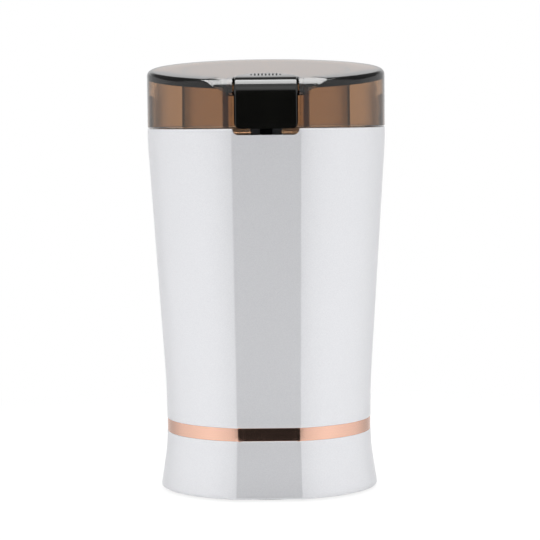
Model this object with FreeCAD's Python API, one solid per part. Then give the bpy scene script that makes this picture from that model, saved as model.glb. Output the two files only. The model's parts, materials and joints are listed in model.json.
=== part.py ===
import FreeCAD, Part
import math
import os

# An electric spice grinder of the blade type, with a push button in its lid.
# Millimetres, +Z up. The origin lies on the shaft axis, in the plane that the foot ring stands on.
# The front, with the flat facet and the button, faces -Y. The cord inlet is at the rear, +Y.

# Heights of the stack, from the ground up
foot_stand = 0.8
base_height = 23.2
band_height = 5.3
body_height = 120.0
lid_height = 24.2
lid_slope = 6.2

# Outside radii
base_radius = 45.0
waist_radius = 42.3
rim_radius = 49.05
lid_step = 0.05
lid_radius = rim_radius - lid_step

# Heights of the bends that turn the sides upright; the taper between them is straight
waist_bend = 22.0
rim_bend = 10.0
base_bend = 10.4

# Walls, fits and softened edges; cutters run on by over, or far past the outside
wall = 2.5
seam_gap = 0.3
fit = 0.15
slide_gap = 0.3
running_gap = 0.05
coil_steps = 10
rim_chamfer = 0.45
joint_chamfer = 0.3
foot_chamfer = 1.2
facet_depth = 2.05
over = 1.0
far = 60.0

# Accent band between body and base
band_inset = 0.15
band_thickness = 0.8
band_corner = 6.0
spigot_wall = 2.0
spigot_reach = 3.0

# Base plate, foot ring and the three long base screws
plate_recess = 0.6
plate_thickness = 2.4
plate_ledge = 2.0
foot_ring_width = 4.5
foot_ring_outer = base_radius - 7.0
foot_ring_inner = foot_ring_outer - foot_ring_width
foot_ring_seat = 1.2
base_screw_radius = foot_ring_inner - 4.5
base_screw_angles = (30.0, 150.0, 270.0)
base_post_radius = 4.0
base_column_height = 16.0
screw_core = 1.5
screw_head = 2.8
screw_head_height = 1.6
rib_width = 2.0
vent_count = 10
vent_inner = 10.0
vent_outer = 21.0
vent_width = 2.4

# Cord inlet bush in the rear of the base
inlet_height = 11.4
inlet_bore = 3.1
inlet_bush = 4.8
inlet_flange = 6.6
inlet_flange_thickness = 1.8
inlet_recess = 1.0
inlet_barb = 1.5
inlet_barb_radius = 5.8
inlet_length = 8.5

# Deck under the rim, with the well that holds the bowl
deck_drop = 3.5
deck_thickness = 2.5
ledge_width = 2.2
ledge_height = 2.0
deck_screw_radius = rim_radius - 7.05
deck_screw_angles = (60.0, 180.0, 300.0)
deck_boss_radius = 2.9
deck_boss_height = 14.0
deck_screw_length = 11.0
well_wall = 1.4
well_floor = 2.5
well_clearance = 0.3
damper_radius = 24.0
damper_angles = (0.0, 120.0, 240.0)
damper_size = 4.5
damper_height = 4.0

# Bowl
bowl_radius = rim_radius - 13.85
bowl_draft = 1.0
bowl_floor_radius = bowl_radius - bowl_draft
bowl_wall = 0.6
bowl_depth = 32.6
bowl_straight = 10.0
bowl_corner = 7.0
bowl_flange = 2.2
gasket_thickness = 0.6
seal_lip = 1.6
seal_rise = 2.0
seal_drop = 1.2

# Lid
lid_wall = 2.6
lid_top_thickness = 3.3
lid_edge = 1.0
collar_radius = bowl_radius - 0.4
collar_wall = 2.0
collar_reach = 10.0
scoop_start = lid_radius - 9.0
scoop_slope = 35.0

# Push button, its pocket in the lid and the tab below it
button_width = 25.4
button_front = lid_radius - 2.05
button_skin = 1.95
button_plate = 2.3
button_rise = 1.0
button_travel = 2.0
button_plan_middle = button_front - 8.95
button_plan_length = 15.6
button_tip_radius = 11.2
button_side_round = 1.2
button_bottom_round = 2.6
button_front_round = 3.6
pocket_gap = 0.5
pocket_wall = 2.2
pocket_skin_gap = 0.4
tray_floor = 2.0
tab_drop = 2.5
tab_width = 25.6
tab_corner = 2.4
notch_width = 26.3
notch_drop = 2.8
notch_lip = 1.0
spring_well_depth = 5.1
spring_well_lift = 6.7
spring_well_plate = 2.0
button_spring_offset = 8.0
button_spring_radius = 1.9
button_spring_wire = 0.5
button_spring_turns = 3.5
spring_peg = 1.1
spring_peg_length = 2.0

# Switch block, pin and microswitch at the front of the deck
press_line = rim_radius - 8.45
pin_width = 4.4
pin_depth = 3.0
block_width = 12.5
block_front = press_line + 3.2
block_back = press_line - 2.7
block_window = 5.3
pin_flange_width = 6.4
pin_flange_depth = 4.6
pin_flange_height = 1.0
pin_stem = 1.2
pin_stem_length = 2.8
plunger_radius = 1.0
plunger_length = 4.7
plunger_bore_depth = 5.0
switch_width = 12.8
switch_height = 6.5
switch_depth = 5.2
switch_drop = 6.3
switch_peg = 0.9
switch_peg_offset = 4.4
switch_peg_drop = 4.6
pin_spring_radius = 2.1
pin_spring_wire = 0.4
pin_spring_turns = 2.5

# Rotor
shaft_radius = 3.0
blade_lift = 4.0
blade_reach = bowl_radius - 6.7
blade_width = 11.0
blade_tip_width = 8.0
blade_thickness = 1.5
blade_flat = 9.0
blade_rise_angle = 14.0
blade_drop_angle = 6.0
blade_bevel = 2.4
hub_radius = 5.2
hub_nut_height = 4.0
hub_crown = 0.8
nut_roof = 1.2
armature_radius = 15.0
armature_slots = 12
armature_slot_width = 2.2
armature_slot_depth = 6.0
winding_radius = 12.8
winding_height = 6.0
commutator_radius = 9.5
commutator_height = 9.0
commutator_riser = 1.2
commutator_bars = 12
commutator_slit = 0.5
fan_radius = 20.0
fan_height = 6.0
fan_blades = 8
fan_blade_thickness = 1.0
fan_hub = 5.0
fan_disc = 1.0
fan_lift = 1.0
fan_drop = 10.6
fan_sweep = 18.0

# Motor frame
stator_drop = 11.0
stator_height = 20.0
stator_radius = 29.0
stator_width = 54.0
stator_depth = 47.0
air_gap = 0.6
pole_half_angle = 37.0
coil_half_angle = 52.0
coil_inner = 16.8
coil_outer = 23.0
coil_overhang = 6.6
coil_clearance = 0.3
bracket_reach = 24.0
bracket_margin = 4.0
bracket_thickness = 2.2
bracket_bar = 13.0
bearing_radius = 5.5
bearing_wall = 2.2
bearing_length = 6.0
lower_bearing_length = 4.4
bearing_stand = 1.0
leg_width = 10.0
leg_thickness = 4.0
motor_bolt_radius = 1.6
motor_bolt_line = stator_depth / 2 - 2.5
brush_size = 5.0
brush_length = 10.0
brush_holder_wall = 1.2
brush_holder_inner = 11.4
brush_holder_outer = 26.0
brush_spring_radius = 1.9
brush_spring_wire = 0.5
brush_spring_turns = 2.5

# Suppressor capacitor behind the well, on a thin pad
capacitor_width = 17.0
capacitor_height = 11.0
capacitor_depth = 5.0
capacitor_stand = 0.8
capacitor_drop = 6.0

# Levels that follow from the stack
z_base = foot_stand
z_band = z_base + base_height
z_waist = z_band + band_height
z_seam = z_waist + body_height
z_rim = z_seam - seam_gap / 2
z_lid = z_seam + seam_gap / 2
z_lid_top = z_seam + lid_height
z_high = z_lid_top + 40.0
z_plate = z_base + plate_recess
z_plate_top = z_plate + plate_thickness
z_inlet = z_base + inlet_height
inlet_face = waist_radius + (base_radius - waist_radius) / 2 - inlet_recess
z_deck_top = z_seam - deck_drop
z_deck = z_deck_top - deck_thickness
z_flange = z_deck_top + gasket_thickness
z_bowl_top = z_flange + bowl_wall
z_bowl = z_bowl_top - bowl_depth - bowl_wall
well_radius = bowl_radius + bowl_wall + well_clearance
z_well = z_bowl - well_clearance
z_well_under = z_well - well_floor
z_damper = z_well_under - damper_height
z_bracket_top = z_damper - damper_height
z_bracket = z_bracket_top - bracket_thickness
z_stator_top = z_bracket - stator_drop
z_stator = z_stator_top - stator_height
z_switch = z_deck - switch_drop
z_blade = z_bowl + bowl_wall + blade_lift
z_blade_top = z_blade + blade_thickness
z_winding = z_stator - winding_height
z_commutator = z_winding - commutator_height
z_lower_bracket_top = z_commutator - commutator_riser
z_lower_bracket = z_lower_bracket_top - bracket_thickness
z_shaft = z_lower_bracket - fan_drop
z_brush = z_commutator + commutator_height / 2 - 0.6
z_block_top = z_seam - slide_gap
z_foot = z_block_top - 0.1
z_pin_top = z_foot - slide_gap
z_button = z_foot + 0.1
z_spring_floor = z_seam + spring_well_lift
slope_rise = math.tan(math.radians(lid_slope))
pocket_front = button_front - button_skin - pocket_skin_gap
pocket_back = pocket_front - pocket_wall
spring_line = pocket_back - spring_well_depth / 2


def bent_side(bottom, z_bottom, top, z_top, low_bend=0.0, high_bend=0.0):
    """A side from the bottom up as four (radius, height) points: bend, straight taper, bend."""
    straight = z_top - z_bottom - low_bend - high_bend
    half_slope = (top - bottom) / (low_bend + high_bend + 2 * straight)
    return ((bottom, z_bottom), (bottom + low_bend * half_slope, z_bottom + low_bend),
            (top - high_bend * half_slope, z_top - high_bend), (top, z_top))


body_side = bent_side(waist_radius, z_waist, rim_radius, z_rim, waist_bend, rim_bend)
body_core = bent_side(waist_radius, z_waist, rim_radius, z_rim)
band_side = bent_side(waist_radius, z_band, waist_radius, z_waist)
base_side = bent_side(base_radius, z_base, waist_radius, z_band, high_bend=base_bend)
base_core = bent_side(base_radius, z_base, waist_radius, z_band)


def box(x0, x1, y0, y1, z0, z1):
    """A block between two opposite corners."""
    return Part.makeBox(x1 - x0, y1 - y0, z1 - z0, FreeCAD.Vector(x0, y0, z0))


def rod(radius, z0, z1, x=0.0, y=0.0):
    """An upright cylinder."""
    return Part.makeCylinder(radius, z1 - z0, FreeCAD.Vector(x, y, z0))


def rod_along(radius, start, direction, length):
    """A cylinder along any direction."""
    return Part.makeCylinder(radius, length, FreeCAD.Vector(*start), FreeCAD.Vector(*direction))


def ring(inner, outer, z0, z1):
    """An upright ring round the shaft axis."""
    return rod(outer, z0, z1).cut(rod(inner, z0 - 1, z1 + 1))


def fused(shapes):
    """One solid from overlapping shapes, with its faces left as they meet."""
    return shapes[0].fuse(shapes[1:])


def joined(shapes):
    """One solid from touching or overlapping shapes, with its coplanar faces made one."""
    return fused(shapes).removeSplitter()


def around(shape, angles):
    """Copies of a shape turned about the shaft axis."""
    copies = []
    for angle in angles:
        copy = shape.copy()
        copy.rotate(FreeCAD.Vector(), FreeCAD.Vector(0, 0, 1), angle)
        copies.append(copy)
    return copies


def evenly(count):
    """The angles of an even pattern."""
    return [360.0 * number / count for number in range(count)]


def turned(points):
    """A solid turned about the shaft axis from a closed outline of (radius, height) points."""
    corners = [FreeCAD.Vector(radius, 0, z) for radius, z in points]
    outline = Part.makePolygon(corners + corners[:1])
    return Part.Face(outline).revolve(FreeCAD.Vector(), FreeCAD.Vector(0, 0, 1), 360)


def bend_edge(upright, end, place):
    """The arc from a point where the side stands upright to the end of its bend."""
    reach, rise = end[0] - upright[0], end[1] - upright[1]
    slope = 2 * math.atan2(abs(reach), abs(rise))
    bend_radius = abs(rise) / math.sin(slope)
    middle = (upright[0] + math.copysign(bend_radius * (1 - math.cos(slope / 2)), reach),
              upright[1] + math.copysign(bend_radius * math.sin(slope / 2), rise))
    return Part.Arc(place(*upright), place(*middle), place(*end)).toShape()


def side_edges(side, inset, low, high, place):
    """The edges of a side from the bottom up, moved in by inset and run on upright at its ends."""
    bottom, low_end, high_end, top = [(radius - inset, z) for radius, z in side]
    edges = []
    if low > 0:
        edges.append(Part.makeLine(place(bottom[0], bottom[1] - low), place(*bottom)))
    if low_end[1] > bottom[1]:
        edges.append(bend_edge(bottom, low_end, place))
    edges.append(Part.makeLine(place(*low_end), place(*high_end)))
    if high_end[1] < top[1]:
        edges.append(bend_edge(top, high_end, place))
    if high > 0:
        edges.append(Part.makeLine(place(*top), place(top[0], top[1] + high)))
    return edges


def closed_face(edges, back):
    """A face between a run of edges and the straight line at the coordinate given by back."""
    run = Part.Wire(Part.__sortEdges__(edges))
    ends = [run.OrderedVertexes[0].Point, run.OrderedVertexes[-1].Point]
    start, end = sorted(ends, key=lambda point: point.z)
    corners = [end, back(end), back(start), start]
    closing = [Part.makeLine(corners[i], corners[i + 1]) for i in range(3)
               if corners[i].distanceToPoint(corners[i + 1]) > 1e-6]
    return Part.Face(Part.Wire(Part.__sortEdges__(edges + closing)))


def faceted(side, inset=0.0, low=0.0, high=0.0):
    """A solid of revolution under a side, with the flat facet planed off its front."""
    section = side_edges(side, inset, low, high, lambda radius, z: FreeCAD.Vector(0, -radius, z))
    profile = closed_face(section, lambda point: FreeCAD.Vector(0, 0, point.z))
    form = profile.revolve(FreeCAD.Vector(), FreeCAD.Vector(0, 0, 1), 360)
    front = side_edges(side, inset, low, high,
                       lambda radius, z: FreeCAD.Vector(-far, facet_depth - radius, z))
    plane = closed_face(front, lambda point: FreeCAD.Vector(point.x, -rim_radius - far, point.z))
    return form.cut(plane.extrude(FreeCAD.Vector(2 * far, 0, 0)))


def lining(side, outer_inset, inner_inset, z0, z1, low=0.0, high=0.0):
    """The part of a wall between two insets and two levels."""
    outer = faceted(side, outer_inset, low, high)
    inner = faceted(side, inner_inset, low + over, high + over)
    return outer.cut(inner).common(box(-far, far, -far, far, z0, z1))


def edges_at(shape, z):
    """The edges that lie wholly in one level plane."""
    return [edge for edge in shape.Edges
            if abs(edge.BoundBox.ZMin - z) < 0.01 and abs(edge.BoundBox.ZMax - z) < 0.01]


def coil(radius, wire, turns, start, length, direction=(0, 0, 1)):
    """A compression spring of square wire, bent in short straight steps, within the given length."""
    steps = round(turns * coil_steps)
    rise = length - wire
    path = Part.makePolygon([FreeCAD.Vector(*polar(radius, 360.0 * step / coil_steps),
                                            wire / 2 + rise * step / steps) for step in range(steps + 1)])
    section = Part.makePolygon([FreeCAD.Vector(radius + dx * wire / 2, 0, wire / 2 + dz * wire / 2)
                                for dx, dz in ((-1, -1), (1, -1), (1, 1), (-1, 1), (-1, -1))])
    solid = Part.Wire(path).makePipeShell([section], True, True, 1)
    turn = FreeCAD.Rotation(FreeCAD.Vector(0, 0, 1), FreeCAD.Vector(*direction))
    solid.Placement = FreeCAD.Placement(FreeCAD.Vector(*start), turn)
    return solid


def screw(x, y, z, length, up=True, core=None, head=None):
    """A hexagon-head screw; z is the level under its head, and the shank runs up or down from there."""
    core, head = core or screw_core, head or screw_head
    way = 1 if up else -1
    shank = rod_along(core, (x, y, z), (0, 0, way), length)
    corners = [FreeCAD.Vector(*polar(head, angle), 0) + FreeCAD.Vector(x, y, z) for angle in evenly(6)]
    hexagon = Part.Face(Part.makePolygon(corners + corners[:1]))
    return joined([hexagon.extrude(FreeCAD.Vector(0, 0, -way * screw_head_height)), shank])


def polar(radius, angle):
    """The (x, y) place at a radius and an angle in degrees."""
    return radius * math.cos(math.radians(angle)), radius * math.sin(math.radians(angle))


# Housing: body shell, accent band and base

def base_column(z0, z1, outline):
    """Posts on the base screws' circle, each with a rib out to the wall and a screw hole."""
    post = rod(base_post_radius, z0, z1, base_screw_radius)
    rib = box(base_screw_radius, waist_radius, -rib_width / 2, rib_width / 2, z0, z1)
    hole = rod(screw_core + fit, z0 - over, z1 - rib_width, base_screw_radius)
    posts = around(joined([post, rib]).cut(hole), base_screw_angles)
    return [each.common(outline) for each in posts]


def body_notch():
    """The cut in the rim that takes the lid's tab: rounded inner corners, flared lips."""
    half, low, top = notch_width / 2, z_seam - notch_drop, z_rim + notch_width
    outline = Part.makePolygon([FreeCAD.Vector(x, -far, z) for x, z in
                                ((-half, low), (half, low), (half, top), (-half, top), (-half, low))])
    cutter = Part.Face(outline).extrude(FreeCAD.Vector(0, far - press_line - pin_depth / 2, 0))
    corners = [edge for edge in cutter.Edges
               if edge.BoundBox.YLength > 1 and abs(edge.BoundBox.ZMax - low) < 0.01]
    cutter = cutter.makeFillet(tab_corner, corners)
    lips = []
    for way in (-1, 1):
        corner = box(-notch_lip, notch_lip, -far, -press_line, -notch_lip, 2 * notch_lip)
        corner.translate(FreeCAD.Vector(way * half, 0, z_rim))
        keep = rod_along(notch_lip, (way * (half + notch_lip), -far - over, z_rim - notch_lip),
                         (0, 1, 0), far)
        lips.append(corner.cut(keep))
    return cutter.fuse(lips)


def body_shell():
    """The waisted outer shell, with the deck's ledge and bosses and the spigot for band and base."""
    outer = faceted(body_side)
    outer = outer.makeChamfer(rim_chamfer, edges_at(outer, z_rim))
    outer = outer.makeChamfer(joint_chamfer, edges_at(outer, z_waist))
    shell = outer.cut(faceted(body_core, wall, over, over))
    ledge = lining(body_core, wall - 0.3, wall + ledge_width, z_deck - ledge_height, z_deck)
    ledge = ledge.cut(box(-switch_width, switch_width, -far, 0, z_deck - deck_boss_height, z_deck + over))
    boss = rod(deck_boss_radius, z_deck - deck_boss_height, z_deck, deck_screw_radius)
    web = box(deck_screw_radius, rim_radius, -rib_width / 2, rib_width / 2,
              z_deck - deck_boss_height, z_deck)
    inside = faceted(body_core, wall - 0.4)
    bosses = [each.common(inside) for each in around(joined([boss, web]), deck_screw_angles)]
    hole = rod(screw_core, z_deck - deck_boss_height + rib_width, z_deck + over, deck_screw_radius)
    screw_holes = around(hole, deck_screw_angles)
    spigot_inset = wall + fit
    z_spigot = z_band - spigot_reach
    spigot = lining(band_side, spigot_inset, spigot_inset + spigot_wall, z_spigot, z_waist + spigot_reach,
                    spigot_reach, spigot_reach)
    band_seat = lining(band_side, band_inset + band_thickness + fit, spigot_inset + spigot_wall,
                       z_band, z_waist)
    root = lining(band_side, wall - 0.5, spigot_inset + spigot_wall, z_waist, z_waist + spigot_reach,
                  0, spigot_reach)
    columns = base_column(z_spigot, z_waist + base_column_height,
                          faceted(band_side, spigot_inset + 0.5, spigot_reach, base_column_height))
    shape = joined([shell, ledge, spigot, band_seat, root] + bosses + columns)
    return shape.cut(body_notch()).cut(Part.makeCompound(screw_holes))


def accent_band():
    """The metal band, with its facet corners rolled softly."""
    outer = faceted(band_side, band_inset)
    corners = [edge for edge in outer.Edges
               if edge.BoundBox.ZLength > band_height - 0.1 and edge.CenterOfMass.y < 0
               and abs(edge.CenterOfMass.x) > 2]
    outer = outer.makeFillet(band_corner, corners)
    return outer.cut(faceted(band_side, band_inset + band_thickness, over, over))


def base_shell():
    """The flared foot of the housing, with the ledge for its plate, screw posts and the inlet hole."""
    outer = faceted(base_side)
    outer = outer.makeChamfer(foot_chamfer, edges_at(outer, z_base))
    outer = outer.makeChamfer(joint_chamfer, edges_at(outer, z_band))
    shell = outer.cut(faceted(base_core, wall, over, over))
    ledge = lining(base_core, wall - 0.3, wall + plate_ledge, z_plate_top, z_plate_top + 2)
    posts = base_column(z_plate_top, z_band - spigot_reach, faceted(base_core, wall - 0.4))
    hole = joined([rod_along(inlet_bush + fit, (0, base_screw_radius, z_inlet), (0, 1, 0), far),
                   rod_along(inlet_flange + fit, (0, inlet_face, z_inlet), (0, 1, 0), 10)])
    through = around(rod(screw_core + fit, z_base, z_waist, base_screw_radius), base_screw_angles)
    return joined([shell, ledge] + posts).cut(hole).cut(Part.makeCompound(through))


def base_plate():
    """The floor plate, with radial cooling slots, the foot ring's groove and sunk screw holes."""
    slab = box(-far, far, -far, far, z_plate, z_plate_top)
    plate = faceted(base_core, wall + fit).common(slab)
    groove = ring(foot_ring_inner - fit, foot_ring_outer + fit, z_plate - 1, z_plate + foot_ring_seat)
    slot = box(vent_inner, vent_outer, -vent_width / 2, vent_width / 2, z_plate - 1, z_plate_top + 1)
    vents = around(slot, evenly(vent_count))
    hole = joined([rod(screw_core + fit, z_plate - 1, z_plate_top + 1, base_screw_radius),
                   rod(screw_head + fit, z_plate - 1, z_plate + 1.0, base_screw_radius)])
    holes = around(hole, base_screw_angles)
    return plate.cut(groove).cut(Part.makeCompound(vents)).cut(Part.makeCompound(holes))


def foot_ring():
    """The rubber ring that the grinder stands on."""
    return ring(foot_ring_inner, foot_ring_outer, 0.0, z_plate + foot_ring_seat)


def base_screws():
    """Three long screws through the plate and the base posts into the body's columns."""
    length = z_waist + base_column_height - 4 - (z_plate + 1.0)
    places = [polar(base_screw_radius, angle) for angle in base_screw_angles]
    return Part.makeCompound([screw(x, y, z_plate + 1.0, length) for x, y in places])


def cord_inlet():
    """The rubber bush in the rear wall that the mains cord passes through, seated in a flat recess."""
    outer_end = inlet_face + inlet_flange_thickness
    inner_face = inlet_face - wall - running_gap
    core = rod_along(inlet_bush, (0, outer_end - inlet_length, z_inlet), (0, 1, 0), inlet_length)
    flange = rod_along(inlet_flange, (0, inlet_face, z_inlet), (0, 1, 0), inlet_flange_thickness)
    barb = rod_along(inlet_barb_radius, (0, inner_face - inlet_barb, z_inlet), (0, 1, 0), inlet_barb)
    bore = rod_along(inlet_bore, (0, base_screw_radius, z_inlet), (0, 1, 0), far)
    return joined([core, flange, barb]).cut(bore)


# Deck, bowl and switch

def deck():
    """The inner deck with the bowl's well, the switch block and the pads under it."""
    plate = faceted(body_core, wall + fit).common(box(-far, far, -far, far, z_deck, z_deck_top))
    well = rod(well_radius + well_wall, z_well_under, z_deck_top)
    block = box(-block_width / 2, block_width / 2, -block_front, -block_back, z_deck, z_block_top)
    switch_pad = box(-switch_width / 2 - 1, switch_width / 2 + 1, -press_line + switch_depth / 2,
                     -well_radius + 2, z_switch - switch_height, z_deck)
    pegs = [rod_along(switch_peg, (x, -press_line + switch_depth / 2 + 0.5, z_switch - switch_peg_drop),
                      (0, -1, 0), switch_depth) for x in (-switch_peg_offset, switch_peg_offset)]
    capacitor_pad = box(-capacitor_width / 2 - 1, capacitor_width / 2 + 1, well_radius - 2,
                        well_radius + well_wall + capacitor_stand,
                        z_deck - capacitor_drop - capacitor_height, z_deck)
    bosses = around(rod(damper_size, z_damper, z_well, damper_radius), damper_angles)
    shape = joined([plate, well, block, switch_pad, capacitor_pad] + pegs + bosses)
    holes = [rod(well_radius, z_well, z_high),
             rod(bearing_radius + bearing_wall + 1.5, z_well_under - 1, z_well + 1),
             box(-pin_width / 2 - slide_gap, pin_width / 2 + slide_gap,
                 -press_line - pin_depth / 2 - slide_gap, -press_line + pin_depth / 2 + slide_gap,
                 z_deck - 1, z_high),
             box(-block_window / 2, block_window / 2, -block_front - 1, -press_line,
                 z_deck_top + 0.6, z_high)]
    holes += around(rod(screw_core + fit, z_deck - 1, z_deck_top + 1, deck_screw_radius), deck_screw_angles)
    holes += around(rod(screw_core, z_damper - 1, z_well - 1, damper_radius), damper_angles)
    return shape.cut(Part.makeCompound(holes))


def deck_screws():
    """Three screws that hold the deck on the body's bosses."""
    places = [polar(deck_screw_radius, angle) for angle in deck_screw_angles]
    return Part.makeCompound([screw(x, y, z_deck_top, deck_screw_length, up=False) for x, y in places])


def bowl_form(inset, z_floor, z_top):
    """A solid of the bowl's shape: floor, corner pressed in two flats, drawn side and straight mouth."""
    side, low = bowl_radius + inset, bowl_floor_radius + inset
    corner = [(low - bowl_corner * (1 - math.sin(math.radians(angle))),
               z_floor + bowl_corner * (1 - math.cos(math.radians(angle)))) for angle in (0, 45, 90)]
    return turned([(0, z_floor)] + corner + [(side, z_bowl_top - bowl_straight), (side, z_top), (0, z_top)])


def grinding_bowl():
    """The pressed steel bowl, with a flange on the deck and a hole for the shaft seal."""
    skin = bowl_form(bowl_wall, z_bowl, z_bowl_top)
    flange = rod(bowl_radius + bowl_flange, z_flange, z_bowl_top)
    hollow = bowl_form(0.0, z_bowl + bowl_wall, z_bowl_top + over)
    hole = rod(hub_radius + 1.0, z_bowl - over, z_bowl + bowl_corner)
    return joined([skin, flange]).cut(hollow).cut(hole)


def bowl_gasket():
    """The flat rubber ring under the bowl's flange."""
    return ring(well_radius + fit, bowl_radius + bowl_flange, z_deck_top, z_flange)


def shaft_seal():
    """The lipped rubber bush in the bowl's floor, gripping the hole's edge."""
    hole = hub_radius + 1.0
    top = z_bowl + bowl_wall
    inner = shaft_radius + running_gap
    low, lip = z_bowl - seal_drop, hole + seal_lip
    return turned(((inner, low), (lip, low), (lip, z_bowl), (hole, z_bowl), (hole, top), (lip, top),
                   (inner + seal_drop, top + seal_rise), (inner, top + seal_rise)))


def switch_pin():
    """The pin that carries the button's push down through the deck."""
    head = box(-pin_width / 2, pin_width / 2, -press_line - pin_depth / 2, -press_line + pin_depth / 2,
               z_deck - slide_gap - pin_flange_height, z_pin_top)
    flange = box(-pin_flange_width / 2, pin_flange_width / 2, -press_line - pin_flange_depth / 2,
                 -press_line + pin_flange_depth / 2, z_deck - slide_gap - pin_flange_height,
                 z_deck - slide_gap)
    stem_top = z_deck - slide_gap - pin_flange_height
    stem = rod(pin_stem, stem_top - pin_stem_length, stem_top, 0, -press_line)
    return joined([head, flange, stem])


def plunger_top():
    """The level where the pin's stem meets the switch plunger."""
    return z_deck - slide_gap - pin_flange_height - pin_stem_length


def switch_plunger():
    """The microswitch's own plunger."""
    return rod(plunger_radius, plunger_top() - plunger_length, plunger_top(), 0, -press_line)


def microswitch():
    """The switch case, with its peg holes and the plunger's bore."""
    case = box(-switch_width / 2, switch_width / 2, -press_line - switch_depth / 2,
               -press_line + switch_depth / 2, z_switch - switch_height, z_switch)
    bore = rod(plunger_radius + running_gap, z_switch - plunger_bore_depth, z_switch + 1, 0, -press_line)
    pegs = [rod_along(switch_peg + running_gap, (x, 0, z_switch - switch_peg_drop), (0, -1, 0), far)
            for x in (-switch_peg_offset, switch_peg_offset)]
    terminals = [box(x - 1.4, x + 1.4, -press_line - 0.3, -press_line + 0.3,
                     z_switch - switch_height - 3.5, z_switch - switch_height) for x in (-5.0, 0.0, 5.0)]
    return joined([case] + terminals).cut(Part.makeCompound([bore] + pegs))


def pin_spring():
    """The return spring between the switch and the pin's flange."""
    length = z_deck - slide_gap - pin_flange_height - z_switch
    return coil(pin_spring_radius, pin_spring_wire, pin_spring_turns, (0, -press_line, z_switch), length)


def capacitor():
    """The suppressor capacitor against its pad behind the well."""
    y = well_radius + well_wall + capacitor_stand
    top = z_deck - capacitor_drop
    case = box(-capacitor_width / 2, capacitor_width / 2, y, y + capacitor_depth,
               top - capacitor_height, top)
    upright = [edge for edge in case.Edges if edge.BoundBox.ZLength > 1]
    return case.makeFillet(0.8, upright)


# Lid and push button

def lid_slab(low, high):
    """The space between two levels measured from the lid's sloping top plane."""
    slab = box(-2 * far, 2 * far, -2 * far, 2 * far, 0, (high - low) * math.cos(math.radians(lid_slope)))
    slab.rotate(FreeCAD.Vector(), FreeCAD.Vector(1, 0, 0), lid_slope)
    slab.translate(FreeCAD.Vector(0, 0, z_lid_top + low))
    return slab


def plan_prism(grow, front, z0, z1):
    """The button's plan, straight at the sides and a three-arc oval behind, as an upright prism."""
    half = button_width / 2 + grow
    length = button_plan_length + grow
    tip_radius = button_tip_radius + grow
    side_radius = (half ** 2 + length ** 2 - 2 * length * tip_radius) / (2 * (half - tip_radius))
    turn = math.atan2(length - tip_radius, side_radius - half)
    tip = FreeCAD.Vector(0, length - button_plan_middle, z0)
    corners = [FreeCAD.Vector(way * half, -front, z0) for way in (-1, 1)]
    edges = [Part.makeLine(*corners)]
    blends = []
    for way, corner in zip((-1, 1), corners):
        centre = half - side_radius
        points = [FreeCAD.Vector(way * (centre + side_radius * math.cos(angle)),
                                 side_radius * math.sin(angle) - button_plan_middle, z0)
                  for angle in (0, turn / 2, turn)]
        edges.append(Part.makeLine(corner, points[0]))
        edges.append(Part.Arc(*points).toShape())
        blends.append(points[2])
    edges.append(Part.Arc(blends[0], tip, blends[1]).toShape())
    outline = Part.Wire(Part.__sortEdges__(edges))
    return Part.Face(outline).extrude(FreeCAD.Vector(0, 0, z1 - z0))


def scoop():
    """The space above the flat dip at the lid's front edge."""
    cutter = box(-far, far, -far, 0, 0, far)
    cutter.rotate(FreeCAD.Vector(), FreeCAD.Vector(1, 0, 0), scoop_slope)
    cutter.translate(FreeCAD.Vector(0, -scoop_start, z_lid_top - slope_rise * scoop_start))
    return cutter


def lid_form(radius, drop, edge, z0):
    """The lid's outer or inner form, with its sloping top edge eased where asked."""
    form = rod(radius, z0, z_high).cut(lid_slab(-drop, 90))
    top = [edge for edge in form.Edges if edge.BoundBox.ZMin > z0 + 5 and edge.BoundBox.XLength > radius]
    return form.makeChamfer(edge, top) if edge else form


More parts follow.
